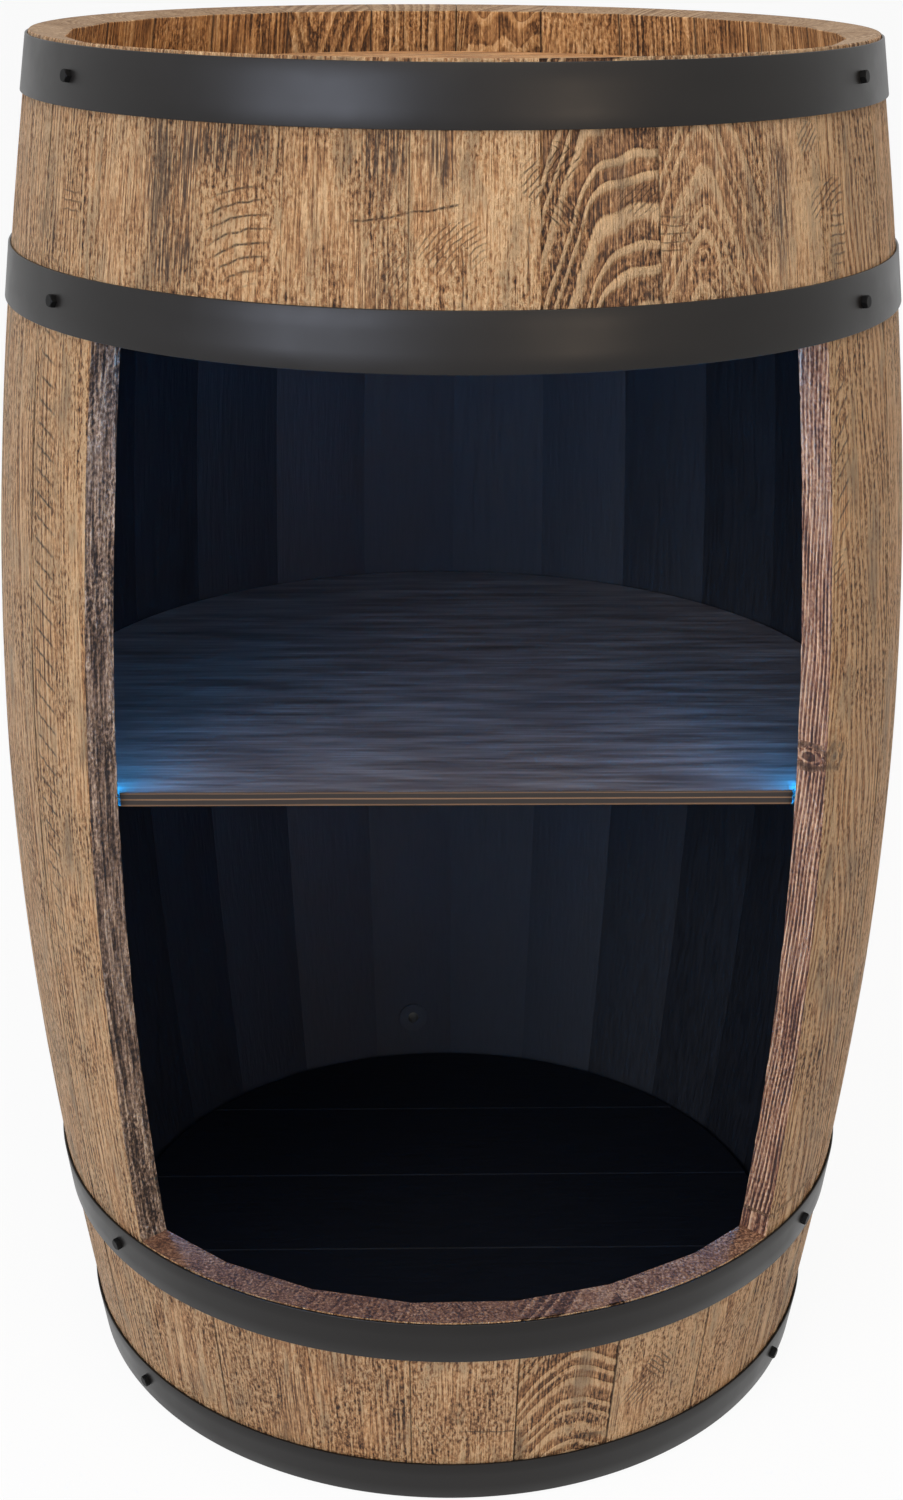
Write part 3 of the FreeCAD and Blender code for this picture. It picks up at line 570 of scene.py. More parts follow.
def makeStave(name, node, span, low, high, look):
    shape = staveShape
    middle, half = (span[0] + span[1]) / 2, (span[1] - span[0]) / 2
    width = 2 * math.radians(half) * barrel["bellyRadius"]
    columns = stations(0.0, width, look["steps"][0], shape["steps"][0]) / width
    rows = stations(0.0, barrel["thickness"], look["steps"][1], shape["steps"][1]) / barrel["thickness"]
    levels = stations(low, high, look["steps"][2], shape["steps"][2], barrel["grooves"])
    places, faces, kinds = sectionGrid(columns, rows, levels)
    s, t, z = columns[places[:, 0]], rows[places[:, 1]], levels[places[:, 2]]
    offMiddle = (2 * s - 1) * half
    outerSide, innerSide = places[:, 1] == len(rows) - 1, places[:, 1] == 0
    firstColumn, lastColumn = places[:, 0] == 0, places[:, 0] == len(columns) - 1

    inner = innerFace(z, offMiddle, half)
    radius = inner + t * (outerRadius(z) - inner)
    depth = radius - outerRadius(z)
    across = (s - 0.5) * width
    rings, shade = ringField(look, across, depth, z)
    worn = np.interp(rings - np.floor(rings), *shape["ringProfile"])
    radius = radius - outerSide * brushedFace(look, across, z, worn, np.minimum(s, 1 - s) * width)

    # rounded arrises and ends, a joint that has shrunk open above the head, and a sawn edge at the opening
    atCorner = (firstColumn | lastColumn) & outerSide
    radius = radius - np.where(atCorner, look["arris"] * shape["arrisDrop"], 0)
    nearEnd = (z < low + 0.01) | (z > high - 0.01)
    radius = radius + shape["endRound"] * (nearEnd & innerSide) - shape["endRound"] * (nearEnd & outerSide)
    aside = np.where(atCorner, look["arris"] * shape["arrisAside"], 0)
    opened = np.clip(shape["shrinkFrom"] * (1 - t), 0, 1)
    aside = aside + look["shrunk"] * (z > barrel["headTop"]) * opened
    if "jambSide" in look:
        beside = (z > barrel["apronTop"] + 1) & (z < barrel["headerBottom"] - 1)
        onJamb = beside & (firstColumn if look["jambSide"] == "left" else lastColumn)
        aside = aside + np.where(onJamb, sawnEdge(look, depth, z, worn), 0)
    reach = np.degrees(aside / np.maximum(radius, 1.0))
    angle = middle + offMiddle + np.where(firstColumn, reach, 0) - np.where(lastColumn, reach, 0)

    # the rim slopes in, so the levels near the top sink towards the inside
    height = z
    if high > barrel["headTop"]:
        sink = np.clip((z - high + barrel["rimDepth"]) / barrel["rimDepth"], 0, 1)
        height = z + depth * barrel["rimSlope"] * sink

    slots = []
    for kind, _, _, k in kinds:
        level = levels[k] if kind in ("low", "high") else (levels[k] + levels[k + 1]) / 2
        slots.append(chooseSlot(kind, level, look))
    if "hole" in look:
        x = (columns[:-1] + columns[1:] - 1) / 2 * width
        up = (levels[:-1] + levels[1:]) / 2 - look["hole"]["height"]
        cells = np.argwhere(np.hypot(x[:, None], up[None, :]) < look["hole"]["radius"])
        faces, slots = throughHole(faces, kinds, slots, {(int(column), int(k)) for column, k in cells})

    fadeLow, fadeHigh = look["jointFade"]
    shiftAcross, shiftAlong = (look["seed"] * shift for shift in shape["grainShift"])
    attributes = {
        "ringCount": rings,
        "grainPlace": np.stack([across + shiftAcross, depth, z + shiftAlong], -1),
        "edgeDistance": np.minimum(s * width + fadeLow, (1 - s) * width + fadeHigh),
        "knotShade": shade,
        "boardTraits": boardTraits(look, across, z, rings),
        "sawTrace": sawTraces(look, across, z),
    }
    points = onBarrel(angle, radius, height)
    piece = makePiece(name, points, faces, slots, staveMaterials, attributes)
    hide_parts(node)


def throughHole(faces, kinds, slots, cells):
    # takes the cells out of the outer and inner side and joins the two edges with a wall. The hole is round
    # but squared off to the mesh, and the grommet's flanges hide that.
    corner, kept, keptSlots = {}, [], []
    for face, (kind, a, b, k), slot in zip(faces, kinds, slots):
        if kind in ("outer", "inner"):
            first, last = sorted((a[0], b[0]))
            order = (0, 1, 2, 3) if a[0] < b[0] else (1, 0, 3, 2)
            spots = ((first, k), (last, k), (last, k + 1), (first, k + 1))
            corner.update({(kind, *spot): face[n] for spot, n in zip(spots, order)})
            if (first, k) in cells:
                continue
        kept.append(face)
        keptSlots.append(slot)
    for column, k in sorted(cells):
        sides = [
            ((column - 1, k), (column, k), (column, k + 1)),
            ((column + 1, k), (column + 1, k), (column + 1, k + 1)),
            ((column, k - 1), (column, k), (column + 1, k)),
            ((column, k + 1), (column, k + 1), (column + 1, k + 1)),
        ]
        for neighbour, start, end in sides:
            if neighbour not in cells:
                wall = (("outer", *start), ("outer", *end), ("inner", *end), ("inner", *start))
                kept.append(tuple(corner[spot] for spot in wall))
                keptSlots.append(blackSlot)
    return kept, keptSlots


# How each stave was cut from its tree. "saw" lists strokes: where, how far, the way to their centre, pitch,
# width, strength. "patches" lists where, how far, and what they add to lightness, ring contrast and grey.
# Unnamed traits are drawn at random, always the same way.
plainBoard = {
    "steps": (2.4, 5.0, 4.0), "arris": 0.55, "sway": 1.2, "swayLength": 190.0, "relief": 0.15, "chips": 0.7,
    "shrunk": 0.0, "jointFade": (0.0, 0.0), "depthPull": 1.0, "ripple": (0.0, 20.0, 0.0), "archSway": 1.5,
    "soft": 0.35, "archFrom": 0.0, "uneven": 0.0, "ridge": 1.0,
}
faint = {"arris": 0.2, "chips": 0.3}
headerBoards = [
    {**faint, "pith": (-50.0, -60.0), "pitch": 3.0, "contrast": 0.3, "jointFade": (0.6, 0.6), "tone": 0.05,
     "patches": [((20, 746), (13, 24), (-0.2, 0.3, 0.75)), ((26, 708), (9, 14), (-0.14, 0.3, 0.65))]},
    {**faint, "pith": (42.0, -52.0), "pitch": 4.6, "contrast": 0.35, "jointFade": (0.6, 0.6),
     "lean": (0.12, 0.0), "tone": 0.05,
     "patches": [((-26, 748), (8, 22), (-0.2, 0.3, 0.75)), ((4, 760), (27, 11), (-0.2, 0.8, 0.8)),
         ((-25, 708), (8, 14), (-0.14, 0.3, 0.65)), ((8, 722), (20, 24), (0.05, 0.0, 0.0))],
     "saw": [((8, 722), (21, 29), (16, -64), 6.2, 0.9, 0.95)]},
    {**faint, "pith": (-40.0, -45.0), "pitch": 3.2, "contrast": 0.35, "tone": 0.07,
     "jointFade": (0.6, 0.3),
     "patches": [((20, 760), (12, 17), (-0.2, 0.3, 0.75)), ((20, 700), (10, 22), (-0.1, 0.2, 0.3))],
     "saw": [((20, 731), (20, 9), (-44, 297), 60.0, 0.9, 1.0),
         ((30, 706), (11, 13), (60, -50), 3.0, 0.6, 0.5)]},
    {**faint, "pith": (30.0, -80.0), "pitch": 4.5, "contrast": 0.3, "tone": 0.12, "jointFade": (0.3, 0.9),
     "patches": [((-17, 757), (8, 16), (-0.24, 0.3, 0.75)), ((-14, 737), (8, 9), (0.24, -0.2, 0.0)),
         ((24, 745), (10, 18), (0.14, 0.0, 0.0))],
     "saw": [((-20, 735), (15, 9), (-44, 297), 60.0, 0.9, 1.0),
         ((-12, 719), (21, 15), (40, -46), 2.8, 0.7, 0.7),
         ((-6, 701), (5, 24), (-400, 0), 60.0, 0.9, 0.9), ((30, 747), (8, 12), (50, -60), 3.0, 0.8, 0.9),
         ((27, 719), (5, 32), (300, -8), 60.0, 1.0, 0.8)]},
    {**faint, "arches": [(759.0, 0.12, 14.0), (774.7, 2.6, 19.5)], "contrast": 1.6, "relief": 0.9,
     "archSway": 1.8, "swayLength": 40.0, "jointFade": (0.9, 0.35), "tone": 0.1, "grey": 0.2, "soft": 0.5,
     "uneven": 0.22, "ridge": 0.68,
     "saw": [((-20, 755), (12, 10), (50, -60), 3.0, 0.8, 0.9),
         ((-20, 733), (11, 8), (-46, -50), 2.8, 0.8, 0.9), ((22, 738), (14, 9), (40, -60), 2.8, 0.6, 0.7)]},
    {**faint, "arches": [(758.3, 1.7, 16.5), (728.3, -2.2, 16.5)], "contrast": 0.8, "relief": 0.5,
     "soft": 0.85, "uneven": 0.25, "ridge": 0.7, "archSway": 2.8, "swayLength": 50.0,
     "jointFade": (0.35, 0.9), "tone": 0.06, "grey": 0.2,
     "patches": [((-8, 712), (12, 12), (0.12, 0.3, -0.2)), ((22, 740), (10, 40), (-0.08, 0.0, 0.1))],
     "saw": [((-30, 722), (15, 13), (10, 300), 3.8, 0.6, 0.7)]},
    {**faint, "pith": (50.0, -60.0), "pitch": 3.4, "contrast": 0.3, "tone": 0.18, "jointFade": (0.9, 0.0),
     "patches": [((-13, 735), (9, 34), (-0.16, 0.3, 0.65)), ((8, 730), (12, 22), (0.14, 0.0, -0.2))],
     "saw": [((13, 760), (11, 9), (50, -55), 2.8, 0.8, 0.95),
         ((20, 728), (8, 10), (20, -34), 3.4, 0.7, 0.9)]},
]
apronBoards = [
    {"pith": (-30.0, -70.0), "pitch": 4.0, "contrast": 0.6, "relief": 0.3, "grey": 0.1},
    {"pith": (60.0, -50.0), "pitch": 3.6, "contrast": 0.35, "arris": 0.3, "jointFade": (0.0, 0.7),
     "patches": [((20, 66), (16, 22), (-0.06, 0.0, 0.15))]},
    {"pith": (-70.0, -30.0), "pitch": 4.4, "contrast": 0.6, "tone": -0.1, "arris": 0.3, "relief": 0.3,
     "jointFade": (0.7, 0.2),
     "patches": [((26, 70), (8, 40), (-0.08, 0.3, 0.15)), ((-10, 95), (20, 10), (-0.08, 0.0, 0.1))]},
    {"pith": (60.0, -50.0), "pitch": 3.4, "contrast": 0.4, "tone": 0.0, "jointFade": (0.2, 0.0),
     "patches": [((-18, 86), (16, 22), (0.05, 0.0, 0.0))],
     "knots": [{"at": (-4.0, 0.0, 68.0), "toward": (0.1, 1.0, 0.1),
         "size": 4.6, "tall": 1.3, "pitch": 1.6, "shade": 0.45}],
     "saw": [((18, 53), (20, 6), (-20, -300), 60.0, 0.9, 0.9),
         ((-20, 52), (16, 12), (60, 40), 6.0, 0.7, 0.6)]},
    {"arches": [(123.8, 1.5, 11.5), (126.2, -0.95, 11.5)], "contrast": 1.0, "relief": 0.8, "ridge": 0.7,
     "soft": 2.4, "archSway": 1.2, "uneven": 0.2, "swayLength": 44.0, "tone": 0.0, "grey": 0.1,
     "patches": [((24, 42), (9, 8), (0.1, -0.4, 0.0))],
     "saw": [((22, 39), (12, 5), (-30, -200), 60.0, 1.6, 1.0)]},
    {"pith": (-60.0, -50.0), "pitch": 3.4, "contrast": 0.3, "tone": 0.11,
     "saw": [((-14, 62), (15, 13), (60, -60), 3.2, 0.8, 0.9),
         ((-2, 79), (12, 11), (-60, -60), 3.2, 0.8, 0.9)]},
    {"pith": (50.0, -60.0), "pitch": 3.8, "contrast": 0.45, "tone": 0.06,
     "saw": [((2, 84), (21, 13), (60, -50), 3.0, 0.6, 0.7)]},
]
fullBoards = {
    0: {"arches": [(680.0, 14.0, 50.0), (116.0, -8.0, 50.0)], "depthPull": 1.5, "soft": 0.8,
        "archSway": 30.0, "swayLength": 120.0, "contrast": 0.95, "tone": 0.08, "relief": 0.35,
        "chips": 0.9, "grey": 0.1, "steps": (1.8, 1.4, 2.4), "jambSide": "left",
        "jambSlot": rightJambSlot, "furrow": 0.6, "archFrom": 150.0, "jointFade": (0.9, 0.2),
        "patches": [((-26, 700), (16, 200), (0.11, -0.2, 0.0)), ((0, 735), (14, 34), (-0.06, 0.0, 0.15)),
            ((4, 250), (20, 150), (-0.05, 0.1, 0.15))],
        "knots": [{"at": (-37.5, -11.5, 441.0), "toward": (0.59, 0.8, 0.05),
            "size": 6.0, "tall": 1.1, "pitch": 2.2, "shade": 0.75}],
        "saw": [((-27, 732), (15, 10), (16, -32), 3.4, 0.9, 1.0),
            ((-22, 712), (10, 20), (0, 300), 4.6, 0.9, 0.8),
            ((-26, 606), (9, 70), (1500, -1900), 8.4, 1.2, 1.0),
            ((-30, 545), (8, 14), (-30, 60), 4.2, 0.9, 0.8)]},
    1: {"pith": (30.0, -60.0), "pitch": 3.4, "contrast": 0.8, "tone": 0.06, "relief": 0.25, "grey": 0.08},
    5: {"pith": (-60.0, -30.0), "pitch": 4.0, "contrast": 0.8},
    6: {"pith": (-70.0, -20.0), "pitch": 5.2, "contrast": 1.1},
    7: {"arches": [(1000.0, -3.4, 18.0)], "contrast": 0.4, "archFrom": 700.0, "archSway": 4.0,
        "tone": 0.06},
    8: {"arches": [(796.0, 0.0, 15.0), (826.0, -5.0, 15.0)], "ripple": (5.0, 27.0, 3.0), "contrast": 0.8,
        "archFrom": 700.0, "archSway": 4.5, "swayLength": 34.0, "uneven": 0.3, "tone": 0.02, "shrunk": 0.4},
    9: {"pith": (70.0, -20.0), "pitch": 6.2, "contrast": 1.1, "steps": (2.0, 5.0, 2.4),
        "hole": {"height": 70.0, "radius": 8.0}},
    10: {"arches": [(774.3, 2.6, -26.0), (732.7, -2.6, -26.0)], "contrast": 0.8, "archFrom": 700.0,
         "soft": 0.3},
    11: {"pith": (50.0, -30.0), "pitch": 4.4, "contrast": 0.8},
    16: {"pith": (-40.0, -70.0), "pitch": 3.0, "contrast": 0.8, "tone": 0.03,
         "patches": [((36, 725), (10, 30), (-0.06, 0.2, 0.1))]},
    17: {"pith": (60.0, -40.0), "pitch": 3.4, "contrast": 0.9, "tone": 0.02, "relief": 0.35, "chips": 1.0,
         "steps": (1.8, 1.4, 2.4), "jambSide": "right", "jambSlot": leftJambSlot, "furrow": 0.7,
         "jointFade": (0.2, 0.9), "swayLength": 220.0,
         "patches": [((-18, 714), (8, 18), (-0.1, 0.1, 0.3)), ((20, 560), (12, 160), (0.1, -0.1, -0.1))],
         "saw": [((2, 726), (13, 11), (0, 300), 4.4, 0.7, 0.7),
             ((-14, 500), (14, 230), (-900, -3200), 11.8, 1.4, 1.0)]},
}
rng = np.random.default_rng(11)


def boardLook(given, seed):
    drawn = {
        "pith": (rng.uniform(-60, 60), rng.uniform(-90, -35)), "pithHeight": rng.uniform(200, 600),
        "lean": (rng.uniform(-0.02, 0.02), rng.uniform(-0.06, 0.06)), "pitch": rng.uniform(3.0, 5.0),
        "contrast": rng.uniform(0.35, 0.65), "tone": rng.uniform(-0.06, 0.05), "grey": rng.uniform(0, 0.15),
    }
    at = (rng.uniform(-20, 20), rng.uniform(200, 600))
    turn = rng.choice([-1.0, 1.0])
    drawn["saw"] = [(at, (11, 90), (300 * turn, -300), rng.uniform(4.5, 8.0), 0.8, 0.9)]
    return {**plainBoard, **drawn, **given, "seed": seed}


courses = (
    # piece and node names, spans, boards, lowest and highest end, traits they share, first seed
    ("headerStaveWood_{}", "header_stave_{}", frontSpans, headerBoards,
     (barrel["headerBottom"], barrel["height"]), {"steps": (1.2, 3.0, 1.6)}, 101),
    ("apronStaveWood_{}", "apron_stave_{}", frontSpans, apronBoards,
     (0.0, barrel["apronTop"]), {"steps": (1.2, 2.4, 1.6)}, 201),
    ("staveWood_{:02d}", "stave_{:02d}", fullSpans, [fullBoards.get(n, {}) for n in range(len(fullSpans))],
     (0.0, barrel["height"]), {}, 301),
)
for pieceName, nodeName, spans, boards, ends, shared, firstSeed in courses:
    for n, (span, given) in enumerate(zip(spans, boards)):
        look = boardLook({**shared, **given}, firstSeed + n)
        makeStave(pieceName.format(n + 1), nodeName.format(n + 1), span, *ends, look)
print("staves made")


# Hoops: strip steel rolled to the barrel's slope, its two ends lapped and riveted at the back

hoopShape = {
    "thickness": 1.5, "gap": 0.05, "edge": 0.35, "lapFrom": 165.0, "lapTo": 175.0, "jog": 3.0,
    "segments": 300, "unevenness": 0.06,
    # lower edge and width
    "strips": {"hoop_bottom": (1.5, 27.0), "hoop_lower": (109.0, 27.0),
               "hoop_upper": (662.0, 29.0), "hoop_top": (769.5, 29.0)},
}
# Satin black powder coat on steel: smooth, very fine orange peel, soft grey sheen where it catches light
coatLook = {
    "color": "#131110", "second": "#1b1917", "rough": 0.37, "gloss": 0.25, "sheen": (0.35, 0.65, 0.04, 0.06),
    "layers": {"tint": ((60.0,) * 3, 5.0, 0.6), "fine": ((1.6,) * 3, 2.0, 0.5)}, "relief": 0.012,
}
coatedSteel = smoothFinish("satinBlackPowderCoat", coatLook)
# Black oxide on the screws and rivets: oily, deeper black than the coat, hardly any sheen
oxideLook = {
    **coatLook, "color": "#0b0b0b", "second": "#101010", "rough": 0.45, "gloss": 0.08, "relief": 0.02,
}
blackedSteel = smoothFinish("blackOxideSteel", oxideLook)


def makeHoop(node, low, width):
    shape = hoopShape
    high = low + width
    inLow, inHigh = (outerRadius(z) + shape["gap"] for z in (low, high))
    edge, thick = shape["edge"], shape["thickness"]
    # rounded strip: millimetres up its width and off its inner face
    profile = [
        (edge, 0.0), (0.0, edge), (0.0, thick - edge), (edge * 0.3, thick - edge * 0.3), (edge, thick),
        (width * 0.33, thick), (width * 0.67, thick), (width - edge, thick),
        (width - edge * 0.3, thick - edge * 0.3), (width, thick - edge), (width, edge), (width - edge, 0.0),
    ]
    turns = np.linspace(shape["lapFrom"], shape["lapTo"] + 360.0, shape["segments"] + 1)
    jogFrom = shape["lapFrom"] + 360.0 - shape["jog"]
    lift = np.clip((turns - jogFrom) / shape["jog"], 0, 1)
    lift = lift * lift * (3 - 2 * lift) * thick
    uneven = 0.5 - 0.5 * waves(turns * 4.4, turns * 0.0 + low, 90.0, int(low))
    count = len(profile)
    points = []
    for turn, raised, dent in zip(turns, lift, uneven):
        for up, off in profile:
            radius = inLow + (inHigh - inLow) * up / width + off + raised - dent * shape["unevenness"]
            points.append(onBarrel(turn, radius, low + up))
    faces = []
    for k in range(len(turns) - 1):
        near, far = k * count, (k + 1) * count
        for n in range(count):
            following = (n + 1) % count
            faces.append((near + n, near + following, far + following, far + n))
    faces.append(tuple(range(count)))
    faces.append(tuple(range(len(points) - count, len(points))))
    name = node.replace("_", "Strip")
    piece = makePiece(name, np.array(points), faces, [0] * len(faces), [coatedSteel], {}, 50.0)
    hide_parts(node)


for node, (low, width) in hoopShape["strips"].items():
    makeHoop(node, low, width)
print("hoops made")


# Carried-over pieces and their finishes

def dress(nodes, material):
    for node in nodes:
        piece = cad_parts[node]
        piece.data.materials.clear()
        piece.data.materials.append(material)


def flatBoardWood(name, look, boards):
    # boards along X that meet at lines of constant Y; each has its own place in its tree
    material, tree, shader = newMaterial(name, {"IOR": 1.5, "Specular IOR Level": look["gloss"]})
    place = addNode(tree, "TexCoord").outputs["Object"]
    placeMm = addNode(tree, "VectorMath", {"operation": "MULTIPLY", 1: (1 / mm,) * 3}, {0: place})
    split = addNode(tree, "SeparateXYZ", None, {0: placeMm})
    along, across, depth = split.outputs
    fromFirst = addNode(tree, "Math", {"operation": "SUBTRACT", 1: boards["firstSeam"]}, {0: across})
    counted = addNode(tree, "Math", {"operation": "DIVIDE", 1: boards["width"]}, {0: fromFirst})
    number = addNode(tree, "Math", {"operation": "FLOOR"}, {0: counted})
    drawn = addNode(tree, "TexWhiteNoise", {"noise_dimensions": "1D"}, {"W": number})
    shifted = addNode(tree, "Math", {"operation": "MULTIPLY_ADD", 1: boards["shift"]}, {0: drawn, 2: along})
    grain = addNode(tree, "CombineXYZ", None, {0: across, 1: depth, 2: shifted})
    inBoard = addNode(tree, "Math", {"operation": "FRACT"}, {0: counted})
    fromPith = addNode(tree, "Math", {"operation": "SUBTRACT"}, {0: inBoard, 1: drawn})
    pithMm = addNode(tree, "Math", {"operation": "MULTIPLY", 1: boards["width"]}, {0: fromPith})
    wide, long = boards["swayLength"]
    scale = (1 / wide, 1 / wide, 1 / long)
    swayPlace = addNode(tree, "VectorMath", {"operation": "MULTIPLY", 1: scale}, {0: grain})
    sway = addNode(tree, "TexNoise", {"Scale": 1.0, "Detail": 1.0}, {"Vector": swayPlace})
    nearest, spread = boards["pithDepth"]
    below = addNode(tree, "Math", {"operation": "MULTIPLY_ADD", 1: spread, 2: nearest}, {0: sway})
    reach = addNode(tree, "CombineXYZ", None, {0: pithMm, 1: below})
    distance = addNode(tree, "VectorMath", {"operation": "LENGTH"}, {0: reach})
    ring = addNode(
        tree, "Math", {"operation": "DIVIDE", 1: boards["pitch"]}, {0: distance.outputs["Value"]}
    )
    folded = addNode(tree, "Math", {"operation": "PINGPONG", 1: 0.5}, {0: counted})
    edge = addNode(tree, "Math", {"operation": "MULTIPLY", 1: boards["width"]}, {0: folded})
    tone, contrast = (
        addNode(tree, "MapRange", {1: 0.0, 2: 1.0, 3: boards[key][0], 4: boards[key][1]}, {0: drawn})
        for key in ("tones", "contrasts")
    )
    woodSurface(tree, shader, look, grain, ring, edge, tone, contrast, 0.0, 0.0)
    return material


firstSeam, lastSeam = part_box("top_board_2")[0].y / mm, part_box("top_board_4")[1].y / mm
headBoards = {
    "firstSeam": firstSeam, "width": (lastSeam - firstSeam) / 3, "pitch": 4.2, "shift": 900.0,
    "swayLength": (60.0, 200.0), "pithDepth": (10.0, 40.0), "tones": (-0.06, 0.06), "contrasts": (0.25, 0.45),
}
# Planed spruce with the same brown stain, smoother than the staves
headLook = {**outsideLook, "relief": 0.4, "pebbleShare": (0.4, 1.0), "seamWidth": 0.8, "lift": 0.0}
dress([f"top_board_{n}" for n in range(1, 6)], flatBoardWood("planedStainedSpruce", headLook, headBoards))
# The same paint on boards that lie down, duller because bottles and hands rub it
floorPaintLook = {**paintLook, "layers": {"tint": ((30.0, 2.5, 2.5), 4.0, 0.5)}, "rough": 0.62, "gloss": 0.12}
floorPaint = smoothFinish("satinBlackPaintOnFloorBoards", floorPaintLook)
dress([f"floor_board_{n}" for n in range(1, 6)], floorPaint)
cleatPaint = smoothFinish("satinBlackPaintOnCleats", paintLook)
dress([f"shelf_cleat_{side}" for side in ("left", "right", "back")], cleatPaint)
dress(["hoop_screws", "hoop_rivets"], blackedSteel)

# Birch plywood, eight millimetres, under a dark walnut stain: streaks along X, light and dark plies at
# the cut edge
shelfLook = {
    "colors": [(0.34, "#42362f"), (0.46, "#5c4d44"), (0.56, "#736459"), (0.68, "#8d7d71")],
    "plies": [(0.0, "#6f5238"), (0.08, "#5b412c"), (0.14, "#1a110c"), (0.42, "#1f140e"), (0.47, "#8a6849"),
              (0.53, "#4b3524"), (0.58, "#180f0a"), (0.84, "#1f150f"), (0.9, "#6b5039"), (0.95, "#2a1d15"),
              (1.0, "#2a1e17")],
    # millimetres along and across the grain, then the noise's detail and roughness
    "fibre": (42.0, 1.8, 4.0, 0.65), "streak": (85.0, 8.0, 3.0, 0.5),
    "plyWave": 1.2, "rough": (0.34, 0.46), "relief": 0.12,
}


def stainedPlywood(name, look, low, high):
    material, tree, shader = newMaterial(name, {"IOR": 1.5, "Specular IOR Level": 0.45})
    place = addNode(tree, "TexCoord").outputs["Object"]
    layers = {}
    for layer in ("fibre", "streak"):
        long, wide, detail, roughness = look[layer]
        scale = (1 / (long * mm), 1 / (wide * mm), 1 / (wide * mm))
        scaled = addNode(tree, "VectorMath", {"operation": "MULTIPLY", 1: scale}, {0: place})
        settings = {"Scale": 1.0, "Detail": detail, "Roughness": roughness}
        layers[layer] = addNode(tree, "TexNoise", settings, {"Vector": scaled})
    fibre, streak = layers["fibre"], layers["streak"]
    both = addNode(tree, "Math", {"operation": "ADD"}, {0: fibre, 1: streak})
    halved = addNode(tree, "Math", {"operation": "MULTIPLY", 1: 0.5}, {0: both})
    ramps = {key: {"stops": [(p, hexToLinear(c)) for p, c in look[key]]} for key in ("colors", "plies")}
    face = addNode(tree, "ValToRGB", ramps["colors"], {0: halved})
    split = addNode(tree, "SeparateXYZ", None, {0: place})
    wave = look["plyWave"] * mm
    wavy = addNode(tree, "Math", {"operation": "MULTIPLY_ADD", 1: wave}, {0: streak, 2: split.outputs[2]})
    level = addNode(tree, "MapRange", {1: low + wave / 2, 2: high + wave / 2, 3: 0.0, 4: 1.0}, {0: wavy})
    plies = addNode(tree, "ValToRGB", ramps["plies"], {0: level})
    normal = addNode(tree, "NewGeometry")
    facing = addNode(tree, "SeparateXYZ", None, {0: normal.outputs["True Normal"]})
    upright = addNode(tree, "Math", {"operation": "ABSOLUTE"}, {0: facing.outputs[2]})
    isFace = addNode(tree, "Math", {"operation": "GREATER_THAN", 1: 0.5}, {0: upright})
    finished = addNode(tree, "MixRGB", None, {"Fac": isFace, "Color1": plies, "Color2": face})
    rough = addNode(
        tree, "MapRange", {1: 0.3, 2: 0.7, 3: look["rough"][0], 4: look["rough"][1]}, {0: fibre}
    )
    bump = addNode(tree, "Bump", {"Strength": 1.0, "Distance": look["relief"] * mm}, {"Height": fibre})
    connect(tree, shader, {"Base Color": finished, "Roughness": rough, "Normal": bump})
    return material


shelfLow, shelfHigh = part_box("shelf")
dress(["shelf"], stainedPlywood("walnutStainedBirchPlywood", shelfLook, shelfLow.z, shelfHigh.z))


sheenOfSmallParts = (0.3, 0.7, 0.05, 0.08)
finishes = {
    # bare beech dowel rod: pale, fine flecks
    "head_dowels": ("bareBeech", {
        "color": "#c9a273", "second": "#a9825a", "rough": 0.55, "grain": 0.9, "relief": 0.05}),
    # zinc-plated steel: bright grey with a faint milky bloom
    "cleat_screws": ("zincPlatedSteel", {
        "color": "#b9bcc0", "second": "#9a9da2", "metallic": 1.0, "rough": 0.3, "grain": 1.2,
        "relief": 0.01}),
    # white solder mask on flexible circuit tape: smooth, a little glossy
    "light_tape": ("whiteSolderMask", {
        "color": "#dfe4e8", "second": "#c9d0d6", "rough": 0.4, "grain": 2.0, "relief": 0.02}),
    # clear resin over a lit blue chip: it shines by itself
    "light_chips": ("litBlueResin", {
        "color": "#9fd8ff", "second": "#7cc8ff", "rough": 0.2, "grain": 1.0, "relief": 0.01,
        "glow": "#1098ff", "strength": 160.0}),
    # moulded ABS with a fine spark texture: dull black, soft highlights
    "light_controller": ("sparkTexturedBlackAbs", {
        "color": "#101011", "second": "#1a1a1c", "rough": 0.5, "ior": 1.54, "grain": 0.5, "relief": 0.03}),
    # dark infrared-clear resin: glassy, almost black with a red cast
    "receiver_eye": ("darkRedResin", {
        "color": "#12040a", "second": "#1c0610", "rough": 0.08, "ior": 1.58, "grain": 1.0, "relief": 0.002}),
    # extruded PVC sheath: even satin black
    "light_lead": ("blackPvcSheath", {
        "color": "#141415", "second": "#1c1c1e", "rough": 0.45, "ior": 1.53, "grain": 0.8, "relief": 0.01}),
    # moulded rubber: matt, slightly dusty black
    "cable_grommet": ("mouldedBlackRubber", {
        "color": "#121212", "second": "#242322", "rough": 0.75, "ior": 1.52, "grain": 0.7, "relief": 0.03}),
}
for node, (name, look) in finishes.items():
    grain = {"tint": ((look["grain"],) * 3, 3.0, 0.5)}
    dress([node], smoothFinish(name, {**look, "sheen": sheenOfSmallParts, "layers": grain}))
print("finishes made")


# Camera, light and floor

camera = {
    "place": (-0.03026, -1.25272, 0.87367), "yaw": 1.42, "down": 21.732, "roll": 0.3466,
    "lens": 52.368, "sensor": 36.0,
}


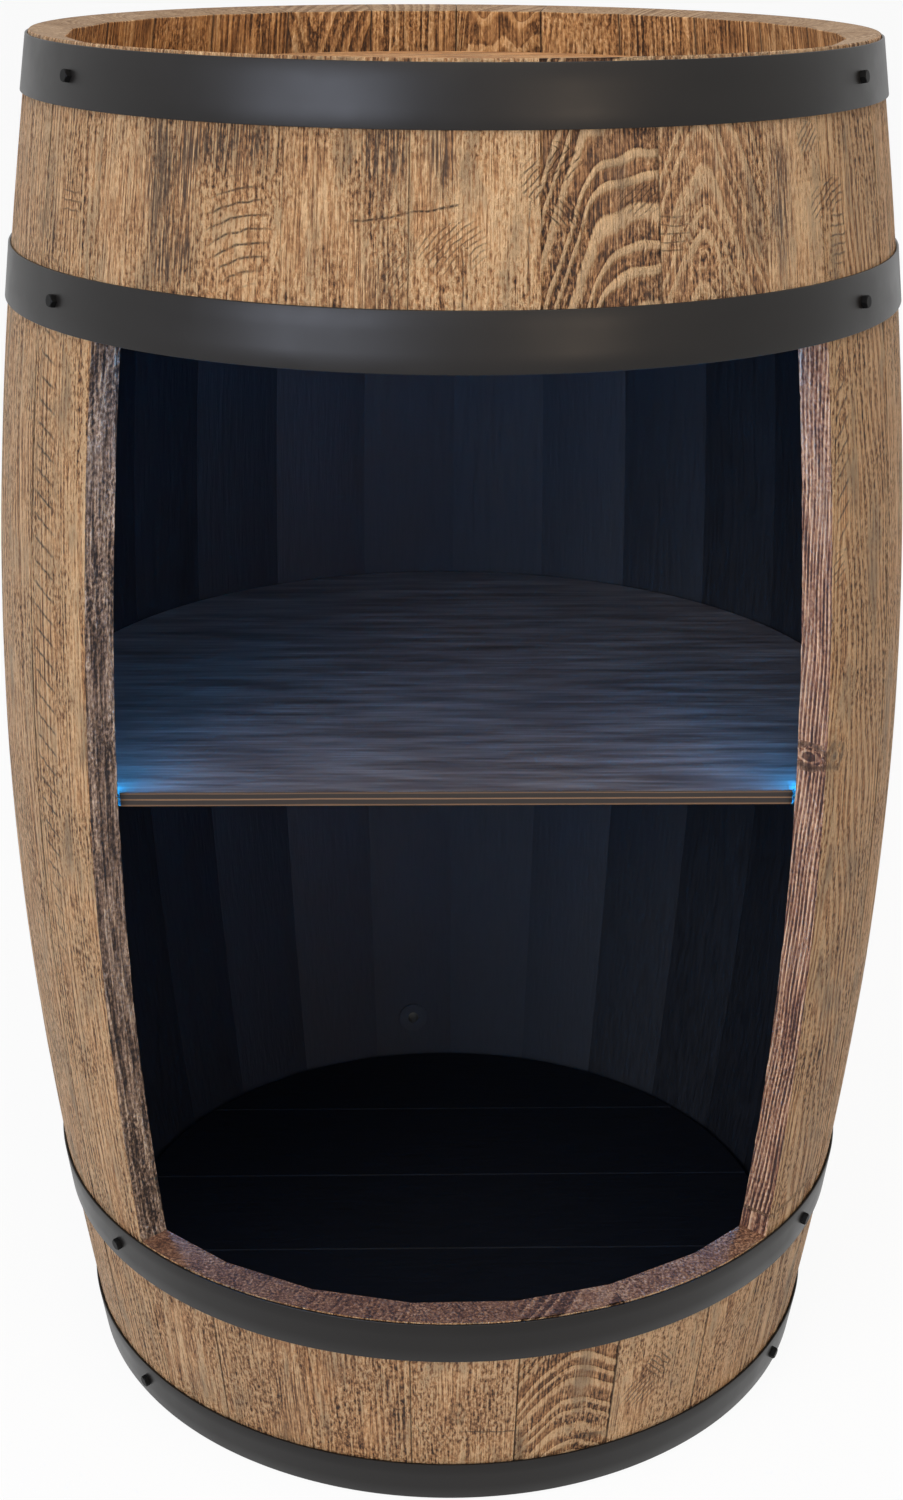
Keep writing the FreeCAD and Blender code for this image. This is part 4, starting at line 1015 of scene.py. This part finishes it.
def makeCamera(look):
    yaw, down, roll = (math.radians(look[key]) for key in ("yaw", "down", "roll"))
    forward = Vector((math.sin(yaw) * math.cos(down), math.cos(yaw) * math.cos(down), -math.sin(down)))
    level = Vector((math.cos(yaw), -math.sin(yaw), 0.0))
    upward = level.cross(forward)
    right = level * math.cos(roll) + upward * math.sin(roll)
    up = upward * math.cos(roll) - level * math.sin(roll)
    data = bpy.data.cameras.new("camera")
    data.lens, data.sensor_width, data.sensor_fit = look["lens"], look["sensor"], "AUTO"
    data.clip_start, data.clip_end = 0.05, 300.0
    eye = bpy.data.objects.new("camera", data)
    turn = Matrix((right, up, -forward)).transposed().to_4x4()
    eye.matrix_world = Matrix.Translation(look["place"]) @ turn
    bpy.context.scene.collection.objects.link(eye)
    bpy.context.scene.camera = eye


makeCamera(camera)

lamps = {
    # name: place, point it looks at, size, watts, colour
    "overheadBox": ((0.15, -1.0, 2.6), (0.0, 0.0, 0.5), (1.8, 1.4), 28.0, "#fff6ea"),
    "leftWindow": ((-1.45, -2.2, 1.25), (0.0, 0.0, 0.6), (1.5, 1.3), 52.0, "#e2eaff"),
    "rightFill": ((1.3, -2.6, 1.1), (0.0, 0.0, 0.5), (0.7, 0.9), 13.0, "#ffe2c4"),
}
for name, (place, target, size, watts, color) in lamps.items():
    data = bpy.data.lights.new(name, "AREA")
    data.shape, data.size, data.size_y = "RECTANGLE", size[0], size[1]
    data.energy, data.color = watts, hexToLinear(color)[:3]
    lamp = bpy.data.objects.new(name, data)
    lamp.location = place
    lamp.rotation_euler = (Vector(target) - Vector(place)).to_track_quat("-Z", "Y").to_euler()
    bpy.context.scene.collection.objects.link(lamp)

surroundings = {"seen": 1.0, "lighting": 0.3, "floor": "#f2f2f0", "floorLift": 0.93, "floorSize": 160.0}


def seenDirectly(tree):
    # 1 for rays of the eye and of gloss and glass, 0 for rays that light things
    path = addNode(tree, "LightPath").outputs
    seen = path["Is Camera Ray"]
    for ray in ("Is Glossy Ray", "Is Transmission Ray"):
        seen = addNode(tree, "Math", {"operation": "MAXIMUM"}, {0: seen, 1: path[ray]})
    return seen


world = bpy.data.worlds.new("studio")
bpy.context.scene.world = world
world.use_nodes = True
tree = world.node_tree
tree.nodes.clear()
strength = addNode(
    tree, "MapRange", {1: 0.0, 2: 1.0, 3: surroundings["lighting"], 4: surroundings["seen"]},
    {0: seenDirectly(tree)},
)
glow = addNode(tree, "Background", {"Color": grey(1.0)}, {"Strength": strength})
addNode(tree, "OutputWorld", None, {"Surface": glow})

# Pale paper floor: nearly white to the eye, and it keeps the object's shadow
floorMesh = bpy.data.meshes.new("paperFloor")
reach = surroundings["floorSize"] / 2
corners = [(-reach, -reach, 0), (reach, -reach, 0), (reach, reach, 0), (-reach, reach, 0)]
floorMesh.from_pydata(corners, [], [(0, 1, 2, 3)])
paperLook = {"Base Color": hexToLinear(surroundings["floor"]), "Roughness": 0.9}
paper, tree, shader = newMaterial("whitePaper", paperLook)
share = {"operation": "MULTIPLY", 1: surroundings["floorLift"]}
lifted = addNode(tree, "Math", share, {0: seenDirectly(tree)})
white = addNode(tree, "Emission", {"Color": grey(1.0), "Strength": 1.0})
mixed = addNode(tree, "MixShader", None, {0: lifted, 1: shader, 2: white})
output = next(node for node in tree.nodes if node.type == "OUTPUT_MATERIAL")
connect(tree, output, {"Surface": mixed})
floorMesh.materials.append(paper)
floor = bpy.data.objects.new("paperFloor", floorMesh)
bpy.context.scene.collection.objects.link(floor)

bpy.context.scene.view_settings.view_transform = "Standard"
print("stage set")
